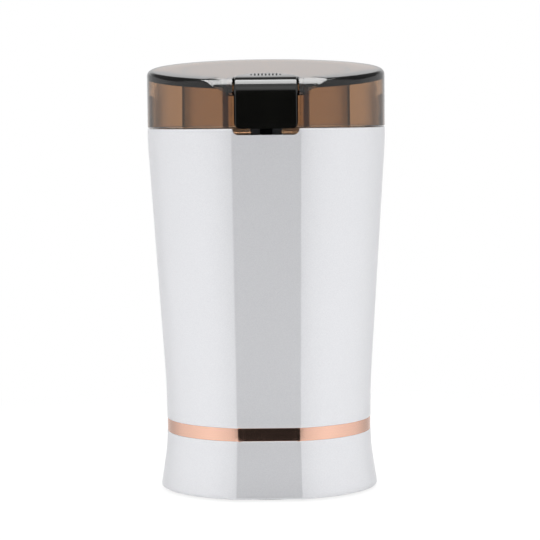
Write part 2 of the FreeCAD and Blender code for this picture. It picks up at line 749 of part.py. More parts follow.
def lid_shell():
    """The clear lid: skin, inner collar, the button's pocket with its spring well, and the tab."""
    pocket = button_width / 2 + pocket_gap
    well_back = pocket_back - spring_well_depth
    outer = lid_form(lid_radius, 0.0, lid_edge, z_lid).cut(scoop())
    inner = lid_form(lid_radius - lid_wall, lid_top_thickness, 0.0, z_lid - 1)
    skin = outer.cut(inner)
    collar = ring(collar_radius - collar_wall, collar_radius, z_seam - collar_reach, z_high)
    collar = collar.cut(lid_slab(-1.0, 90))
    cheeks = box(-pocket - pocket_wall, pocket + pocket_wall, -far, -pocket_back, z_lid, z_high)
    cheeks = cheeks.common(outer)
    tray = plan_prism(pocket_gap + pocket_wall, pocket_front, z_seam, z_high)
    recess_drop = button_plate + button_travel + slide_gap
    tray = tray.common(lid_slab(-recess_drop - tray_floor, -0.5)).cut(scoop())
    well_half = button_spring_offset + button_spring_radius + 2.4
    well = box(-well_half - pocket_wall, well_half + pocket_wall, -pocket_front + 0.2, -well_back + 1.6,
               z_spring_floor - spring_well_plate, z_high).cut(lid_slab(-recess_drop - 0.5, 90))
    solid = fused([skin, collar, cheeks, tray, well])
    tab = box(-tab_width / 2, tab_width / 2, -pocket_front, -pocket_back, z_seam - tab_drop, z_lid + 3)
    tab_corners = [edge for edge in tab.Edges
                   if edge.BoundBox.YLength > 1 and abs(edge.BoundBox.ZMax - z_seam + tab_drop) < 0.01]
    tab = tab.makeFillet(tab_corner, tab_corners)
    block_half = block_width / 2 + slide_gap
    foot_half = pin_width / 2 + slide_gap
    cuts = [plan_prism(pocket_gap, far, z_seam, z_high).common(lid_slab(-recess_drop, far)),
            box(-pocket, pocket, -far, -pocket_front, z_seam - 2 * tab_drop, z_high),
            box(-well_half, well_half, -pocket_back, -well_back, z_spring_floor, z_lid_top - 6),
            box(-foot_half, foot_half, -press_line - pin_depth / 2 - slide_gap,
                -press_line + pin_depth / 2 + slide_gap, z_seam, z_high),
            box(-block_half, block_half, -far, -block_back + slide_gap, z_seam - 2 * tab_drop,
                z_block_top + slide_gap)]
    return fused([solid, tab]).cut(Part.makeCompound(cuts))


def lid_button():
    """The glossy push button: raised top, front skin, foot for the pin and pegs for its springs."""
    half = button_width / 2
    form = box(-half, half, -button_front, 0, z_button, z_high).cut(lid_slab(button_rise, 90))
    front_top = [edge for edge in form.Edges if edge.BoundBox.ZMin > z_seam + 5
                 and edge.BoundBox.YMax < -button_front + 0.01]
    form = form.makeFillet(button_front_round, front_top)
    plan = plan_prism(0.0, button_front, z_button, z_high)
    upright = [edge for edge in plan.Edges if edge.BoundBox.ZLength > 5
               and abs(edge.CenterOfMass.y + button_front) < 0.1]
    form = form.common(plan.makeFillet(button_side_round, upright))
    under = lid_slab(-far, -button_plate).common(box(-far, far, -button_front + button_skin, far, 0, z_high))
    mask = box(-half, half, -far, far, z_button, z_high)
    low_corners = [edge for edge in mask.Edges if edge.BoundBox.YLength > 1
                   and edge.BoundBox.ZMax < z_button + 0.01]
    shell = form.cut(under).common(mask.makeFillet(button_bottom_round, low_corners))
    foot = box(-pin_width / 2, pin_width / 2, -press_line - pin_depth / 2, -press_line + pin_depth / 2,
               z_foot, z_high).cut(lid_slab(-button_plate + 0.5, 90))
    pegs = [rod(spring_peg, plate_under() - spring_peg_length, z_high, x, -spring_line).cut(
        lid_slab(-button_plate + 0.5, 90)) for x in (-button_spring_offset, button_spring_offset)]
    return fused([shell, foot] + pegs)


def plate_under():
    """The level under the button's plate at the line of its springs."""
    return z_lid_top - slope_rise * (spring_line + button_spring_radius + button_spring_wire) - button_plate


def button_spring(x):
    """One of the two springs that lift the button."""
    length = plate_under() - z_spring_floor
    return coil(button_spring_radius, button_spring_wire, button_spring_turns,
                (x, -spring_line, z_spring_floor), length)


# Rotor

def blade_arm(angle):
    """One arm of the blade: tapered, round at its tip, ground to an edge and bent at its root."""
    half, tip = blade_width / 2, blade_tip_width / 2
    outline = Part.makePolygon([FreeCAD.Vector(x, y, 0) for x, y in (
        (-1.0, -half), (blade_flat, -half), (blade_reach - tip, -tip), (blade_reach - tip, tip),
        (blade_flat, half), (-1.0, half), (-1.0, -half))])
    arm = joined([Part.Face(outline).extrude(FreeCAD.Vector(0, 0, blade_thickness)),
                  rod(tip, 0, blade_thickness, blade_reach - tip)])
    bevel = box(blade_flat, blade_reach + 5, -blade_bevel, 20, 0, 10)
    bevel.rotate(FreeCAD.Vector(), FreeCAD.Vector(1, 0, 0),
                 -math.degrees(math.atan2(blade_thickness * 0.8, blade_bevel)))
    bevel.translate(FreeCAD.Vector(0, tip - blade_bevel * 0.6, blade_thickness))
    arm = arm.cut(bevel)
    root = arm.common(box(-2, blade_flat, -20, 20, -1, 5))
    reach = arm.common(box(blade_flat, blade_reach + 5, -20, 20, -1, 5))
    reach.rotate(FreeCAD.Vector(blade_flat, 0, blade_thickness / 2), FreeCAD.Vector(0, 1, 0), -angle)
    bend = box(blade_flat - 0.4, blade_flat + 0.4, -half + 0.2, half - 2.2, 0.1, blade_thickness - 0.1)
    return joined([root, reach, bend])


def blade():
    """The two-armed cutting blade, one arm bent up and the other down."""
    second = blade_arm(-blade_drop_angle)
    second.rotate(FreeCAD.Vector(), FreeCAD.Vector(0, 0, 1), 180)
    shape = joined([blade_arm(blade_rise_angle), second])
    shape.translate(FreeCAD.Vector(0, 0, z_blade))
    return shape.cut(rod(shaft_radius, z_blade - 1, z_blade_top + 1))


def blade_spacer():
    """The drive boss under the blade, clear of the seal."""
    return ring(shaft_radius, hub_radius, z_bowl + bowl_wall + seal_rise + slide_gap, z_blade)


def blade_nut():
    """The closed hexagon nut that holds the blade."""
    corner = hub_radius / math.cos(math.radians(30))
    points = [FreeCAD.Vector(*polar(corner, angle), z_blade_top) for angle in evenly(6)]
    hexagon = Part.Face(Part.makePolygon(points + points[:1])).extrude(FreeCAD.Vector(0, 0, hub_nut_height))
    crown = rod(hub_radius - 1.0, z_blade_top, z_blade_top + hub_nut_height + hub_crown)
    bore = rod(shaft_radius, z_blade_top - 1, z_blade_top + hub_nut_height - nut_roof)
    return joined([hexagon, crown]).cut(bore)


def motor_shaft():
    """The one shaft from the fan to the blade."""
    return rod(shaft_radius, z_shaft, z_blade_top + hub_nut_height - nut_roof)


def armature_core():
    """The slotted rotor stack."""
    core = ring(shaft_radius, armature_radius, z_stator, z_stator_top)
    slot = box(armature_radius - armature_slot_depth, armature_radius + 1, -armature_slot_width / 2,
               armature_slot_width / 2, z_stator - 1, z_stator_top + 1)
    return core.cut(Part.makeCompound(around(slot, evenly(armature_slots))))


def armature_winding():
    """The copper end windings above and below the rotor stack."""
    upper = winding_head(z_stator_top, z_stator_top + winding_height)
    lower = winding_head(z_stator - winding_height, z_stator)
    return Part.makeCompound([upper, lower])


def winding_head(z0, z1):
    """One end of the winding: the bundles of wire make a drum with as many flats as the core has slots."""
    corners = [FreeCAD.Vector(*polar(winding_radius, angle), z0) for angle in evenly(armature_slots)]
    drum = Part.Face(Part.makePolygon(corners + corners[:1])).extrude(FreeCAD.Vector(0, 0, z1 - z0))
    return drum.cut(rod(shaft_radius, z0 - 1, z1 + 1))


def commutator():
    """The slit copper drum that the brushes press on, with its riser."""
    drum = ring(shaft_radius, commutator_radius, z_commutator, z_winding)
    riser = ring(shaft_radius, commutator_radius + commutator_riser, z_winding - commutator_riser, z_winding)
    slit = box(commutator_radius - 0.6, commutator_radius + 3, -commutator_slit / 2, commutator_slit / 2,
               z_commutator - 1, z_winding + 1)
    return joined([drum, riser]).cut(Part.makeCompound(around(slit, evenly(commutator_bars))))


def cooling_fan():
    """The fan under the motor: hub, disc and curved-back blades."""
    low = z_shaft + fan_lift
    top = low + fan_height
    hub = ring(shaft_radius, fan_hub, low, top)
    disc = ring(shaft_radius, fan_radius, top - fan_disc, top)
    vane = box(fan_hub - 1, fan_radius - 0.5, -fan_blade_thickness / 2, fan_blade_thickness / 2,
               low, top - fan_disc / 2)
    vane.rotate(FreeCAD.Vector(fan_hub - 1, 0, 0), FreeCAD.Vector(0, 0, 1), fan_sweep)
    vane = vane.common(rod(fan_radius, low, top))
    return joined([hub, disc] + around(vane, evenly(fan_blades)))


# Motor frame

def sector(inner, outer, half_angle, z0, z1):
    """A ring sector about the +X side."""
    wedge = Part.makeCylinder(outer, z1 - z0, FreeCAD.Vector(0, 0, z0), FreeCAD.Vector(0, 0, 1),
                              2 * half_angle)
    wedge.rotate(FreeCAD.Vector(), FreeCAD.Vector(0, 0, 1), -half_angle)
    return wedge.cut(rod(inner, z0 - 1, z1 + 1))


def stator_core():
    """The laminated frame with its two poles and the windows for the field coils."""
    low, high = z_stator, z_stator_top
    frame = rod(stator_radius, low, high).common(
        box(-stator_width / 2, stator_width / 2, -stator_depth / 2, stator_depth / 2, low, high))
    bore = rod(armature_radius + air_gap, low - 1, high + 1)
    window = sector(1.0, coil_outer + coil_clearance, coil_half_angle + 1.0, low - 1, high + 1).cut(
        sector(0.5, coil_outer + 5, pole_half_angle - 1.0, low - 2, high + 2))
    neutral = sector(1.0, motor_bolt_line - 2.2, 180 - 2 * coil_half_angle, low - 1, high + 1)
    neutral.rotate(FreeCAD.Vector(), FreeCAD.Vector(0, 0, 1), 90)
    neutral = neutral.common(box(-bracket_bar, bracket_bar, 0, far, low - 1, high + 1))
    bolts = [rod(motor_bolt_radius + fit, low - 1, high + 1, 0, way * motor_bolt_line) for way in (-1, 1)]
    cuts = around(window, (0, 180)) + around(neutral, (0, 180)) + bolts
    return frame.cut(bore).cut(Part.makeCompound(cuts))


def field_coil(angle):
    """One saddle coil, wound round a pole and standing out above and below the frame."""
    low, high = z_stator - coil_overhang, z_stator_top + coil_overhang
    saddle = sector(coil_inner, coil_outer, coil_half_angle, low, high)
    pole = sector(coil_inner - 5, coil_outer + 5, pole_half_angle, z_stator - coil_clearance,
                  z_stator_top + coil_clearance)
    coil_shape = saddle.cut(pole)
    coil_shape.rotate(FreeCAD.Vector(), FreeCAD.Vector(0, 0, 1), angle)
    return coil_shape


def bracket(z0, z1, bearing_low, bearing_high, leg_low, leg_high):
    """A motor end bracket: a cross bar with a bearing seat and two legs to the stator."""
    bar = box(-bracket_reach, bracket_reach, -bracket_bar / 2, bracket_bar / 2, z0, z1)
    depth = motor_bolt_line + bracket_margin
    cross = box(-bracket_bar / 2, bracket_bar / 2, -depth, depth, z0, z1)
    seat = rod(bearing_radius + bearing_wall, bearing_low, bearing_high)
    legs = [box(-leg_width / 2, leg_width / 2, way * motor_bolt_line - leg_thickness / 2,
                way * motor_bolt_line + leg_thickness / 2, leg_low, leg_high) for way in (-1, 1)]
    holes = [rod(motor_bolt_radius + fit, leg_low - 5, leg_high + 5, 0, way * motor_bolt_line)
             for way in (-1, 1)]
    shape = joined([bar, cross, seat] + legs)
    return shape.cut(rod(bearing_radius, bearing_low - 1, bearing_high + 1)).cut(Part.makeCompound(holes))


def upper_bearing_low():
    """The lower end of the upper bearing."""
    return z_bracket_top - bearing_length + bearing_stand


def upper_bracket():
    """The bracket that hangs the motor from the deck."""
    shape = bracket(z_bracket, z_bracket_top, upper_bearing_low(), z_bracket_top + bearing_stand,
                    z_stator_top, z_bracket)
    arms = around(box(0, damper_radius, -damper_size, damper_size, z_bracket, z_bracket_top), damper_angles)
    pads = around(rod(damper_size, z_bracket, z_bracket_top, damper_radius), damper_angles)
    holes = around(rod(screw_core + fit, z_bracket - 1, z_bracket_top + 1, damper_radius), damper_angles)
    clear = rod(bearing_radius, z_bracket - 1, z_bracket_top + 2)
    return joined([shape] + arms + pads).cut(Part.makeCompound(holes + [clear]))


def lower_bracket():
    """The bracket under the motor, with the rests for the brush holders."""
    low = z_lower_bracket - bearing_stand
    shape = bracket(z_lower_bracket, z_lower_bracket_top, low, low + lower_bearing_length,
                    z_lower_bracket_top, z_stator)
    outer = brush_size / 2 + brush_holder_wall
    rests = [box(way * 18 - 3, way * 18 + 3, -outer, outer, z_lower_bracket, z_brush - outer)
             for way in (-1, 1)]
    return joined([shape] + rests)


def bearing(z0, z1):
    """A sintered bush that the shaft turns in."""
    return ring(shaft_radius + running_gap, bearing_radius, z0, z1)


def motor_bolts():
    """Two long bolts that clamp the brackets to the stator."""
    length = z_bracket_top - z_lower_bracket
    return Part.makeCompound([screw(0, way * motor_bolt_line, z_lower_bracket, length,
                                    core=motor_bolt_radius) for way in (-1, 1)])


def dampers():
    """Three rubber bushes between the motor and the deck."""
    bush = rod(damper_size, z_bracket_top, z_damper, damper_radius)
    hole = rod(screw_core + fit, z_bracket_top - 1, z_damper + 1, damper_radius)
    return Part.makeCompound(around(bush.cut(hole), damper_angles))


def motor_screws():
    """Three screws up through bracket and bushes into the deck."""
    length = z_well - 1.5 - z_bracket
    places = [polar(damper_radius, angle) for angle in damper_angles]
    return Part.makeCompound([screw(x, y, z_bracket, length) for x, y in places])


def on_side(shape, angle):
    """A brush part turned to its side of the commutator."""
    shape.rotate(FreeCAD.Vector(), FreeCAD.Vector(0, 0, 1), angle)
    return shape


def brush_holder(angle):
    """A square brass tube, closed by an end wall behind the spring."""
    inner = brush_size / 2 + running_gap
    outer = brush_size / 2 + brush_holder_wall
    tube = box(brush_holder_inner, brush_holder_outer, -outer, outer, z_brush - outer, z_brush + outer)
    hollow = box(brush_holder_inner - 1, brush_holder_outer - 1, -inner, inner,
                 z_brush - inner, z_brush + inner)
    return on_side(tube.cut(hollow), angle)


def carbon_brush(angle):
    """A carbon block, hollowed to the commutator's curve."""
    half = brush_size / 2
    block = box(commutator_radius - 1, commutator_radius + brush_length, -half, half,
                z_brush - half, z_brush + half)
    return on_side(block.cut(rod(commutator_radius + running_gap, z_commutator - 5, z_winding + 5)), angle)


def brush_spring(angle):
    """The spring that presses a brush on the commutator."""
    start = commutator_radius + brush_length
    length = brush_holder_outer - 1 - start
    return on_side(coil(brush_spring_radius, brush_spring_wire, brush_spring_turns, (start, 0, z_brush),
                        length, (1, 0, 0)), angle)


def pieces():
    """Every node's name and shape."""
    lower_bearing_low = z_lower_bracket - bearing_stand
    return {
        "body_shell": body_shell(),
        "accent_band": accent_band(),
        "base_shell": base_shell(),
        "base_plate": base_plate(),
        "foot_ring": foot_ring(),
        "base_screws": base_screws(),
        "cord_inlet": cord_inlet(),
        "top_deck": deck(),
        "deck_screws": deck_screws(),
        "grinding_bowl": grinding_bowl(),
        "bowl_gasket": bowl_gasket(),
        "shaft_seal": shaft_seal(),
        "switch_pin": switch_pin(),
        "pin_spring": pin_spring(),
        "microswitch": microswitch(),
        "switch_plunger": switch_plunger(),
        "capacitor": capacitor(),
        "lid_shell": lid_shell(),
        "lid_button": lid_button(),
        "button_spring_left": button_spring(-button_spring_offset),
        "button_spring_right": button_spring(button_spring_offset),
        "blade": blade(),
        "blade_spacer": blade_spacer(),
        "blade_nut": blade_nut(),
        "motor_shaft": motor_shaft(),
        "armature_core": armature_core(),
        "armature_winding": armature_winding(),
        "commutator": commutator(),
        "cooling_fan": cooling_fan(),
        "stator_core": stator_core(),
        "field_coil_right": field_coil(0),
        "field_coil_left": field_coil(180),
        "upper_bracket": upper_bracket(),
        "lower_bracket": lower_bracket(),
        "upper_bearing": bearing(upper_bearing_low(), z_bracket_top + bearing_stand),
        "lower_bearing": bearing(lower_bearing_low, lower_bearing_low + lower_bearing_length),
        "motor_bolts": motor_bolts(),
        "motor_dampers": dampers(),
        "motor_screws": motor_screws(),
        "brush_holder_right": brush_holder(0),
        "brush_holder_left": brush_holder(180),
        "carbon_brush_right": carbon_brush(0),
        "carbon_brush_left": carbon_brush(180),
        "brush_spring_right": brush_spring(0),
        "brush_spring_left": brush_spring(180),
    }


def main():
    """Build every piece and write it to its own file."""
    os.makedirs("parts", exist_ok=True)
    for name, shape in pieces().items():
        print(f"{name}: {len(shape.Solids)} solids, {shape.Volume:.1f} mm3, valid {shape.isValid()}")
        shape.exportStep(f"parts/{name}.step")


if __name__ == "__main__":
    main()
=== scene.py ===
"""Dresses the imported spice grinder: its finishes, its smooth outer pieces, and a small studio round it.

Sizes are in millimetres in the classes and in metres in the meshes. The frame is the CAD's own:
+Z up the motor shaft, -Y the front with the facet and the push button, the foot ring on z = 0.
"""

import json
import logging
import math
from dataclasses import dataclass, field
from enum import Enum
from typing import Iterable, Sequence

import bmesh
import bpy
from mathutils import Matrix, Vector

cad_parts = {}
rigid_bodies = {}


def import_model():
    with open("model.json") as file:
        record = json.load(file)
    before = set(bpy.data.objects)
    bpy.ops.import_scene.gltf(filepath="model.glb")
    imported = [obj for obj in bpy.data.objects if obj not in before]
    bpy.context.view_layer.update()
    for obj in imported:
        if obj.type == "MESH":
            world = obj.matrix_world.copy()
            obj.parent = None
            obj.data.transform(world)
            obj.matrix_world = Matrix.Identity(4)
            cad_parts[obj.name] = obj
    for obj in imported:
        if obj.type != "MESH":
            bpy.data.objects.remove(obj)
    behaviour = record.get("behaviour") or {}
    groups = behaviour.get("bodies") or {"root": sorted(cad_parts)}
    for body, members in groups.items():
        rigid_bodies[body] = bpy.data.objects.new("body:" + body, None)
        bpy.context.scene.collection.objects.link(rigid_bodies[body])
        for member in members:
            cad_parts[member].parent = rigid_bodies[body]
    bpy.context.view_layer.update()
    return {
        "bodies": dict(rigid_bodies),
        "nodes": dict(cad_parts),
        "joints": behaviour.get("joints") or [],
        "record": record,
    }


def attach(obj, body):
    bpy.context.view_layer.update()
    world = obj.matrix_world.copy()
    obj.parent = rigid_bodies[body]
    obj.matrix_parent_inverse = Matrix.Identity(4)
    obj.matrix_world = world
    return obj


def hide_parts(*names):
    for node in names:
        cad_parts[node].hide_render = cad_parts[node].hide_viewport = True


MM = 0.001
SEAM = 149.3  # where lid and body meet, in millimetres above the table
SLOPE = 6.2  # how far the lid's top falls to the front, in degrees
ABOVE = 200.0  # a height over the whole grinder, where cutters end
AHEAD = 60.0  # a distance in front of the whole grinder, where cutters end
HAIR = 0.01  # what keeps the faces of two solids from lying in one plane
LOG = logging.getLogger("spice_grinder")
Colour = tuple[float, float, float]
Place = tuple[float, float, float]
Point = tuple[float, float]
Feed = float | Sequence[float] | bpy.types.NodeSocket


class Body(str, Enum):
    """The record's bodies that the new pieces ride on."""

    HOUSING = "housing"
    LID = "lid"
    BUTTON = "button"


class Slot(str, Enum):
    """The record's material slots."""

    BODY_WHITE = "body_white"
    ROSE_GOLD = "rose_gold"
    LID_SMOKE = "lid_smoke"
    BUTTON_BLACK = "button_black"
    DECK_BLACK = "deck_black"
    PLATE_WHITE = "plate_white"
    BOWL_STEEL = "bowl_steel"
    BLADE_STEEL = "blade_steel"
    SPRING_STEEL = "spring_steel"
    SCREW_ZINC = "screw_zinc"
    RUBBER_BLACK = "rubber_black"
    LAMINATIONS = "laminations"
    BRACKET_STEEL = "bracket_steel"
    COPPER = "copper"
    BRONZE = "bronze"
    BRASS = "brass"
    CARBON = "carbon"
    FAN_NYLON = "fan_nylon"
    SWITCH_CASE = "switch_case"
    CAPACITOR_CASE = "capacitor_case"


class Cut(str, Enum):
    """How one solid changes another."""

    AWAY = "DIFFERENCE"
    JOIN = "UNION"
    KEEP = "INTERSECT"


# Node helpers


def add_node(tree: bpy.types.NodeTree, kind: str, inputs: dict[str | int, Feed], **options: str
             ) -> bpy.types.Node:
    """A node with its options and inputs set.

    Args:
        tree: The node tree that takes it.
        kind: The node's type.
        inputs: Each input's name or number, and its value or the socket that feeds it.
        **options: The node's own options, such as its operation.

    Returns:
        The node.
    """
    node = tree.nodes.new(kind)
    for option, choice in options.items():
        setattr(node, option, choice)
    for label, value in inputs.items():
        if isinstance(value, bpy.types.NodeSocket):
            tree.links.new(value, node.inputs[label])
        else:
            node.inputs[label].default_value = value
    return node


def add_math(tree: bpy.types.NodeTree, operation: str, *feeds: Feed) -> bpy.types.NodeSocket:
    """The result of a sum on up to three numbers.

    Args:
        tree: The node tree that takes it.
        operation: What is done with them.
        *feeds: The numbers or their sockets, in order.

    Returns:
        The result's socket.
    """
    return add_node(tree, "ShaderNodeMath", dict(enumerate(feeds)), operation=operation).outputs[0]


def add_ramp(tree: bpy.types.NodeTree, value: bpy.types.NodeSocket, stops: Sequence[tuple[float, Colour]]
             ) -> bpy.types.NodeSocket:
    """A colour that follows a value through stops.

    Args:
        tree: The node tree that takes it.
        value: What it follows.
        stops: Each stop's position and colour.

    Returns:
        The colour's socket.
    """
    node = add_node(tree, "ShaderNodeValToRGB", {"Fac": value})
    while len(node.color_ramp.elements) < len(stops):
        node.color_ramp.elements.new(1.0)
    for element, (position, colour) in zip(node.color_ramp.elements, stops):
        element.position = position
        element.color = (*colour, 1.0)
    return node.outputs["Color"]


# Shared effects


class Effects:
    """The node groups that more than one finish uses, each made once."""

    def __init__(self) -> None:
        """Start with no groups made."""
        self.made: dict[str, bpy.types.NodeTree] = {}

    def get(self, name: str) -> bpy.types.NodeTree:
        """A group by name, made on first use.

        Args:
            name: One of the names in the table of makers.

        Returns:
            The shader node group.
        """
        makers = {"moulded_grain": self.moulded_grain, "handling_marks": self.handling_marks,
                  "drawn_lines": self.drawn_lines, "pearl_flakes": self.pearl_flakes}
        if name not in self.made:
            self.made[name] = makers[name]()
        return self.made[name]

    @staticmethod
    def start(name: str, inputs: dict[str, float], outputs: Sequence[str]
              ) -> tuple[bpy.types.NodeTree, dict[str, bpy.types.NodeSocket]]:
        """A new group with its sockets.

        Args:
            name: The group's name.
            inputs: Each number input and its default.
            outputs: The names of its number outputs.

        Returns:
            The group, and its inputs by name.
        """
        tree = bpy.data.node_groups.new(name, "ShaderNodeTree")
        tree.interface.new_socket("Place", in_out="INPUT", socket_type="NodeSocketVector")
        for label, default in inputs.items():
            socket = tree.interface.new_socket(label, in_out="INPUT", socket_type="NodeSocketFloat")
            socket.default_value = default
        for label in outputs:
            tree.interface.new_socket(label, in_out="OUTPUT", socket_type="NodeSocketFloat")
        return tree, {socket.name: socket for socket in tree.nodes.new("NodeGroupInput").outputs}

    def moulded_grain(self) -> bpy.types.NodeTree:
        """Fine spark-eroded grain, as a height and a tone."""
        tree, given = self.start("moulded_grain", {"Scale": 3000.0, "Mottle": 0.5}, ("Height", "Tone"))
        fine = add_node(tree, "ShaderNodeTexNoise",
                        {"Vector": given["Place"], "Scale": given["Scale"], "Detail": 3.0})
        broad = add_node(tree, "ShaderNodeTexNoise", {"Vector": given["Place"], "Scale": 90.0})
        blend = add_node(tree, "ShaderNodeMix",
                         {0: given["Mottle"], 2: fine.outputs["Fac"], 3: broad.outputs["Fac"]})
        add_node(tree, "NodeGroupOutput", {"Height": fine.outputs["Fac"], "Tone": blend.outputs[0]})
        return tree

    def handling_marks(self) -> bpy.types.NodeTree:
        """Soft smudges that change how glossy a surface is."""
        tree, given = self.start("handling_marks", {"Scale": 40.0, "Low": 0.1, "High": 0.2}, ("Roughness",))
        smudge = add_node(tree, "ShaderNodeTexNoise", {"Vector": given["Place"], "Scale": given["Scale"],
                                                       "Detail": 5.0, "Distortion": 0.6})
        spread = add_node(tree, "ShaderNodeMapRange",
                          {"Value": smudge.outputs["Fac"], "From Min": 0.35, "From Max": 0.7,
                           "To Min": given["Low"], "To Max": given["High"]})
        add_node(tree, "NodeGroupOutput", {"Roughness": spread.outputs["Result"]})
        return tree

    def drawn_lines(self) -> bpy.types.NodeTree:
        """Brushed or turned lines: noise that is long one way and fine the other."""
        tree, given = self.start("drawn_lines", {"Fine": 9000.0, "Low": 0.2, "High": 0.35},
                                 ("Height", "Roughness"))
        apart = add_node(tree, "ShaderNodeSeparateXYZ", {0: given["Place"]})
        finer = add_math(tree, "MULTIPLY", apart.outputs["Z"], given["Fine"])
        again = add_node(tree, "ShaderNodeCombineXYZ",
                         {"X": apart.outputs["X"], "Y": apart.outputs["Y"], "Z": finer})
        lines = add_node(tree, "ShaderNodeTexNoise",
                         {"Vector": again.outputs[0], "Scale": 1.0, "Detail": 4.0})
        spread = add_node(tree, "ShaderNodeMapRange",
                          {"Value": lines.outputs["Fac"], "From Min": 0.3, "From Max": 0.7,
                           "To Min": given["Low"], "To Max": given["High"]})
        add_node(tree, "NodeGroupOutput",
                 {"Height": lines.outputs["Fac"], "Roughness": spread.outputs["Result"]})
        return tree

    def pearl_flakes(self) -> bpy.types.NodeTree:
        """Tiny mica flakes under a clear coat, as a tone per flake and a tilt."""
        tree, given = self.start("pearl_flakes", {"Scale": 5200.0}, ("Tone", "Height"))
        flakes = add_node(tree, "ShaderNodeTexVoronoi", {"Vector": given["Place"], "Scale": given["Scale"]})
        apart = add_node(tree, "ShaderNodeSeparateColor", {0: flakes.outputs["Color"]})
        add_node(tree, "NodeGroupOutput", {"Tone": apart.outputs[0], "Height": apart.outputs[1]})
        return tree


EFFECTS = Effects()


@dataclass(frozen=True)
class Finish:
    """What every finish has: a name, a colour and a second tone that it drifts towards."""

    name: str
    colour: Colour
    second: Colour

    def start(self) -> tuple[bpy.types.Material, bpy.types.Node]:
        """An empty material with its shader.

        Returns:
            The material and its Principled BSDF.
        """
        material = bpy.data.materials.new(self.name)
        material.use_nodes = True
        shader = material.node_tree.nodes["Principled BSDF"]
        shader.inputs["Base Color"].default_value = (*self.colour, 1.0)
        material.diffuse_color = (*self.colour, 1.0)
        return material, shader

    @staticmethod
    def place(material: bpy.types.Material, across: float = 1.0) -> bpy.types.NodeSocket:
        """Object coordinates through a Mapping node.

        Args:
            material: The material that they go into.
            across: The scale along X and Y; along Z it is one.

        Returns:
            The vector output.
        """
        tree = material.node_tree
        source = add_node(tree, "ShaderNodeTexCoord", {})
        return add_node(tree, "ShaderNodeMapping", {"Vector": source.outputs["Object"],
                                                    "Scale": (across, across, 1.0)}).outputs["Vector"]

    @staticmethod
    def effect(material: bpy.types.Material, name: str, place: bpy.types.NodeSocket, **values: float
               ) -> bpy.types.Node:
        """One of the shared groups, placed in a material with its own values.

        Args:
            material: The material.
            name: The group's name.
            place: The coordinates that it reads.
            **values: The group's number inputs.

        Returns:
            The group node.
        """
        return add_node(material.node_tree, "ShaderNodeGroup", {"Place": place, **values},
                        node_tree=EFFECTS.get(name))

    def handled(self, material: bpy.types.Material, shader: bpy.types.Node, place: bpy.types.NodeSocket,
                scale: float, roughness: Point) -> None:
        """A roughness that drifts with handling.

        Args:
            material: The material.
            shader: Its shader.
            place: The coordinates that the marks follow.
            scale: How small the marks are.
            roughness: The lowest and highest roughness.
        """
        marks = self.effect(material, "handling_marks", place, Scale=scale, Low=roughness[0],
                            High=roughness[1])
        material.node_tree.links.new(marks.outputs["Roughness"], shader.inputs["Roughness"])

    @staticmethod
    def bump(material: bpy.types.Material, shader: bpy.types.Node, height: bpy.types.NodeSocket,
             distance: float, strength: float) -> None:
        """A bump from a height, in millimetres.

        Args:
            material: The material.
            shader: Its shader.
            height: The height socket.
            distance: The height of the relief in millimetres.
            strength: How much of it is felt.
        """
        node = add_node(material.node_tree, "ShaderNodeBump",
                        {"Height": height, "Distance": distance * MM, "Strength": strength})
        material.node_tree.links.new(node.outputs["Normal"], shader.inputs["Normal"])

    def tones(self, material: bpy.types.Material, shader: bpy.types.Node, tone: bpy.types.NodeSocket,
              limits: Point = (0.35, 0.65)) -> None:
        """The base colour, drifting between the two tones.

        Args:
            material: The material.
            shader: Its shader.
            tone: A value over the surface.
            limits: The values that give the first and the second colour.
        """
        drift = add_ramp(material.node_tree, tone, tuple(zip(limits, (self.colour, self.second))))
        material.node_tree.links.new(drift, shader.inputs["Base Color"])

    def make(self) -> bpy.types.Material:
        """The finished material; each kind of finish says how."""
        raise NotImplementedError


@dataclass(frozen=True)
class PearlGloss(Finish):
    """White plastic with a pearl lacquer."""

    metallic: float = 0.3
    roughness: Point = (0.33, 0.345)
    marks_scale: float = 24.0
    coat: float = 0.2
    coat_roughness: float = 0.15
    flake_scale: float = 5200.0
    flake_tones: Point = (0.1, 0.9)
    flake_height: float = 0.002
    flake_tilt: float = 0.12

    def make(self) -> bpy.types.Material:
        """Flakes tint and tilt the surface under a soft clear coat.

        Returns:
            The material.
        """
        material, shader = self.start()
        place = self.place(material)
        flakes = self.effect(material, "pearl_flakes", place, Scale=self.flake_scale)
        self.handled(material, shader, place, self.marks_scale, self.roughness)
        self.tones(material, shader, flakes.outputs["Tone"], self.flake_tones)
        self.bump(material, shader, flakes.outputs["Height"], self.flake_height, self.flake_tilt)
        shader.inputs["Metallic"].default_value = self.metallic
        shader.inputs["Coat Weight"].default_value = self.coat
        shader.inputs["Coat Roughness"].default_value = self.coat_roughness
        return material


@dataclass(frozen=True)
class BrushedMetal(Finish):
    """Metal with fine lines, drawn round it or along it."""

    roughness: Point = (0.18, 0.32)
    across: float = 30.0
    fine: float = 9000.0
    depth: float = 0.003
    felt: float = 0.5

    def make(self) -> bpy.types.Material:
        """Lines in the roughness, the colour and a shallow bump.

        Returns:
            The material.
        """
        material, shader = self.start()
        place = self.place(material, self.across)
        lines = self.effect(material, "drawn_lines", place, Fine=self.fine, Low=self.roughness[0],
                            High=self.roughness[1])
        self.tones(material, shader, lines.outputs["Height"])
        material.node_tree.links.new(lines.outputs["Roughness"], shader.inputs["Roughness"])
        self.bump(material, shader, lines.outputs["Height"], self.depth, self.felt)
        shader.inputs["Metallic"].default_value = 1.0
        return material


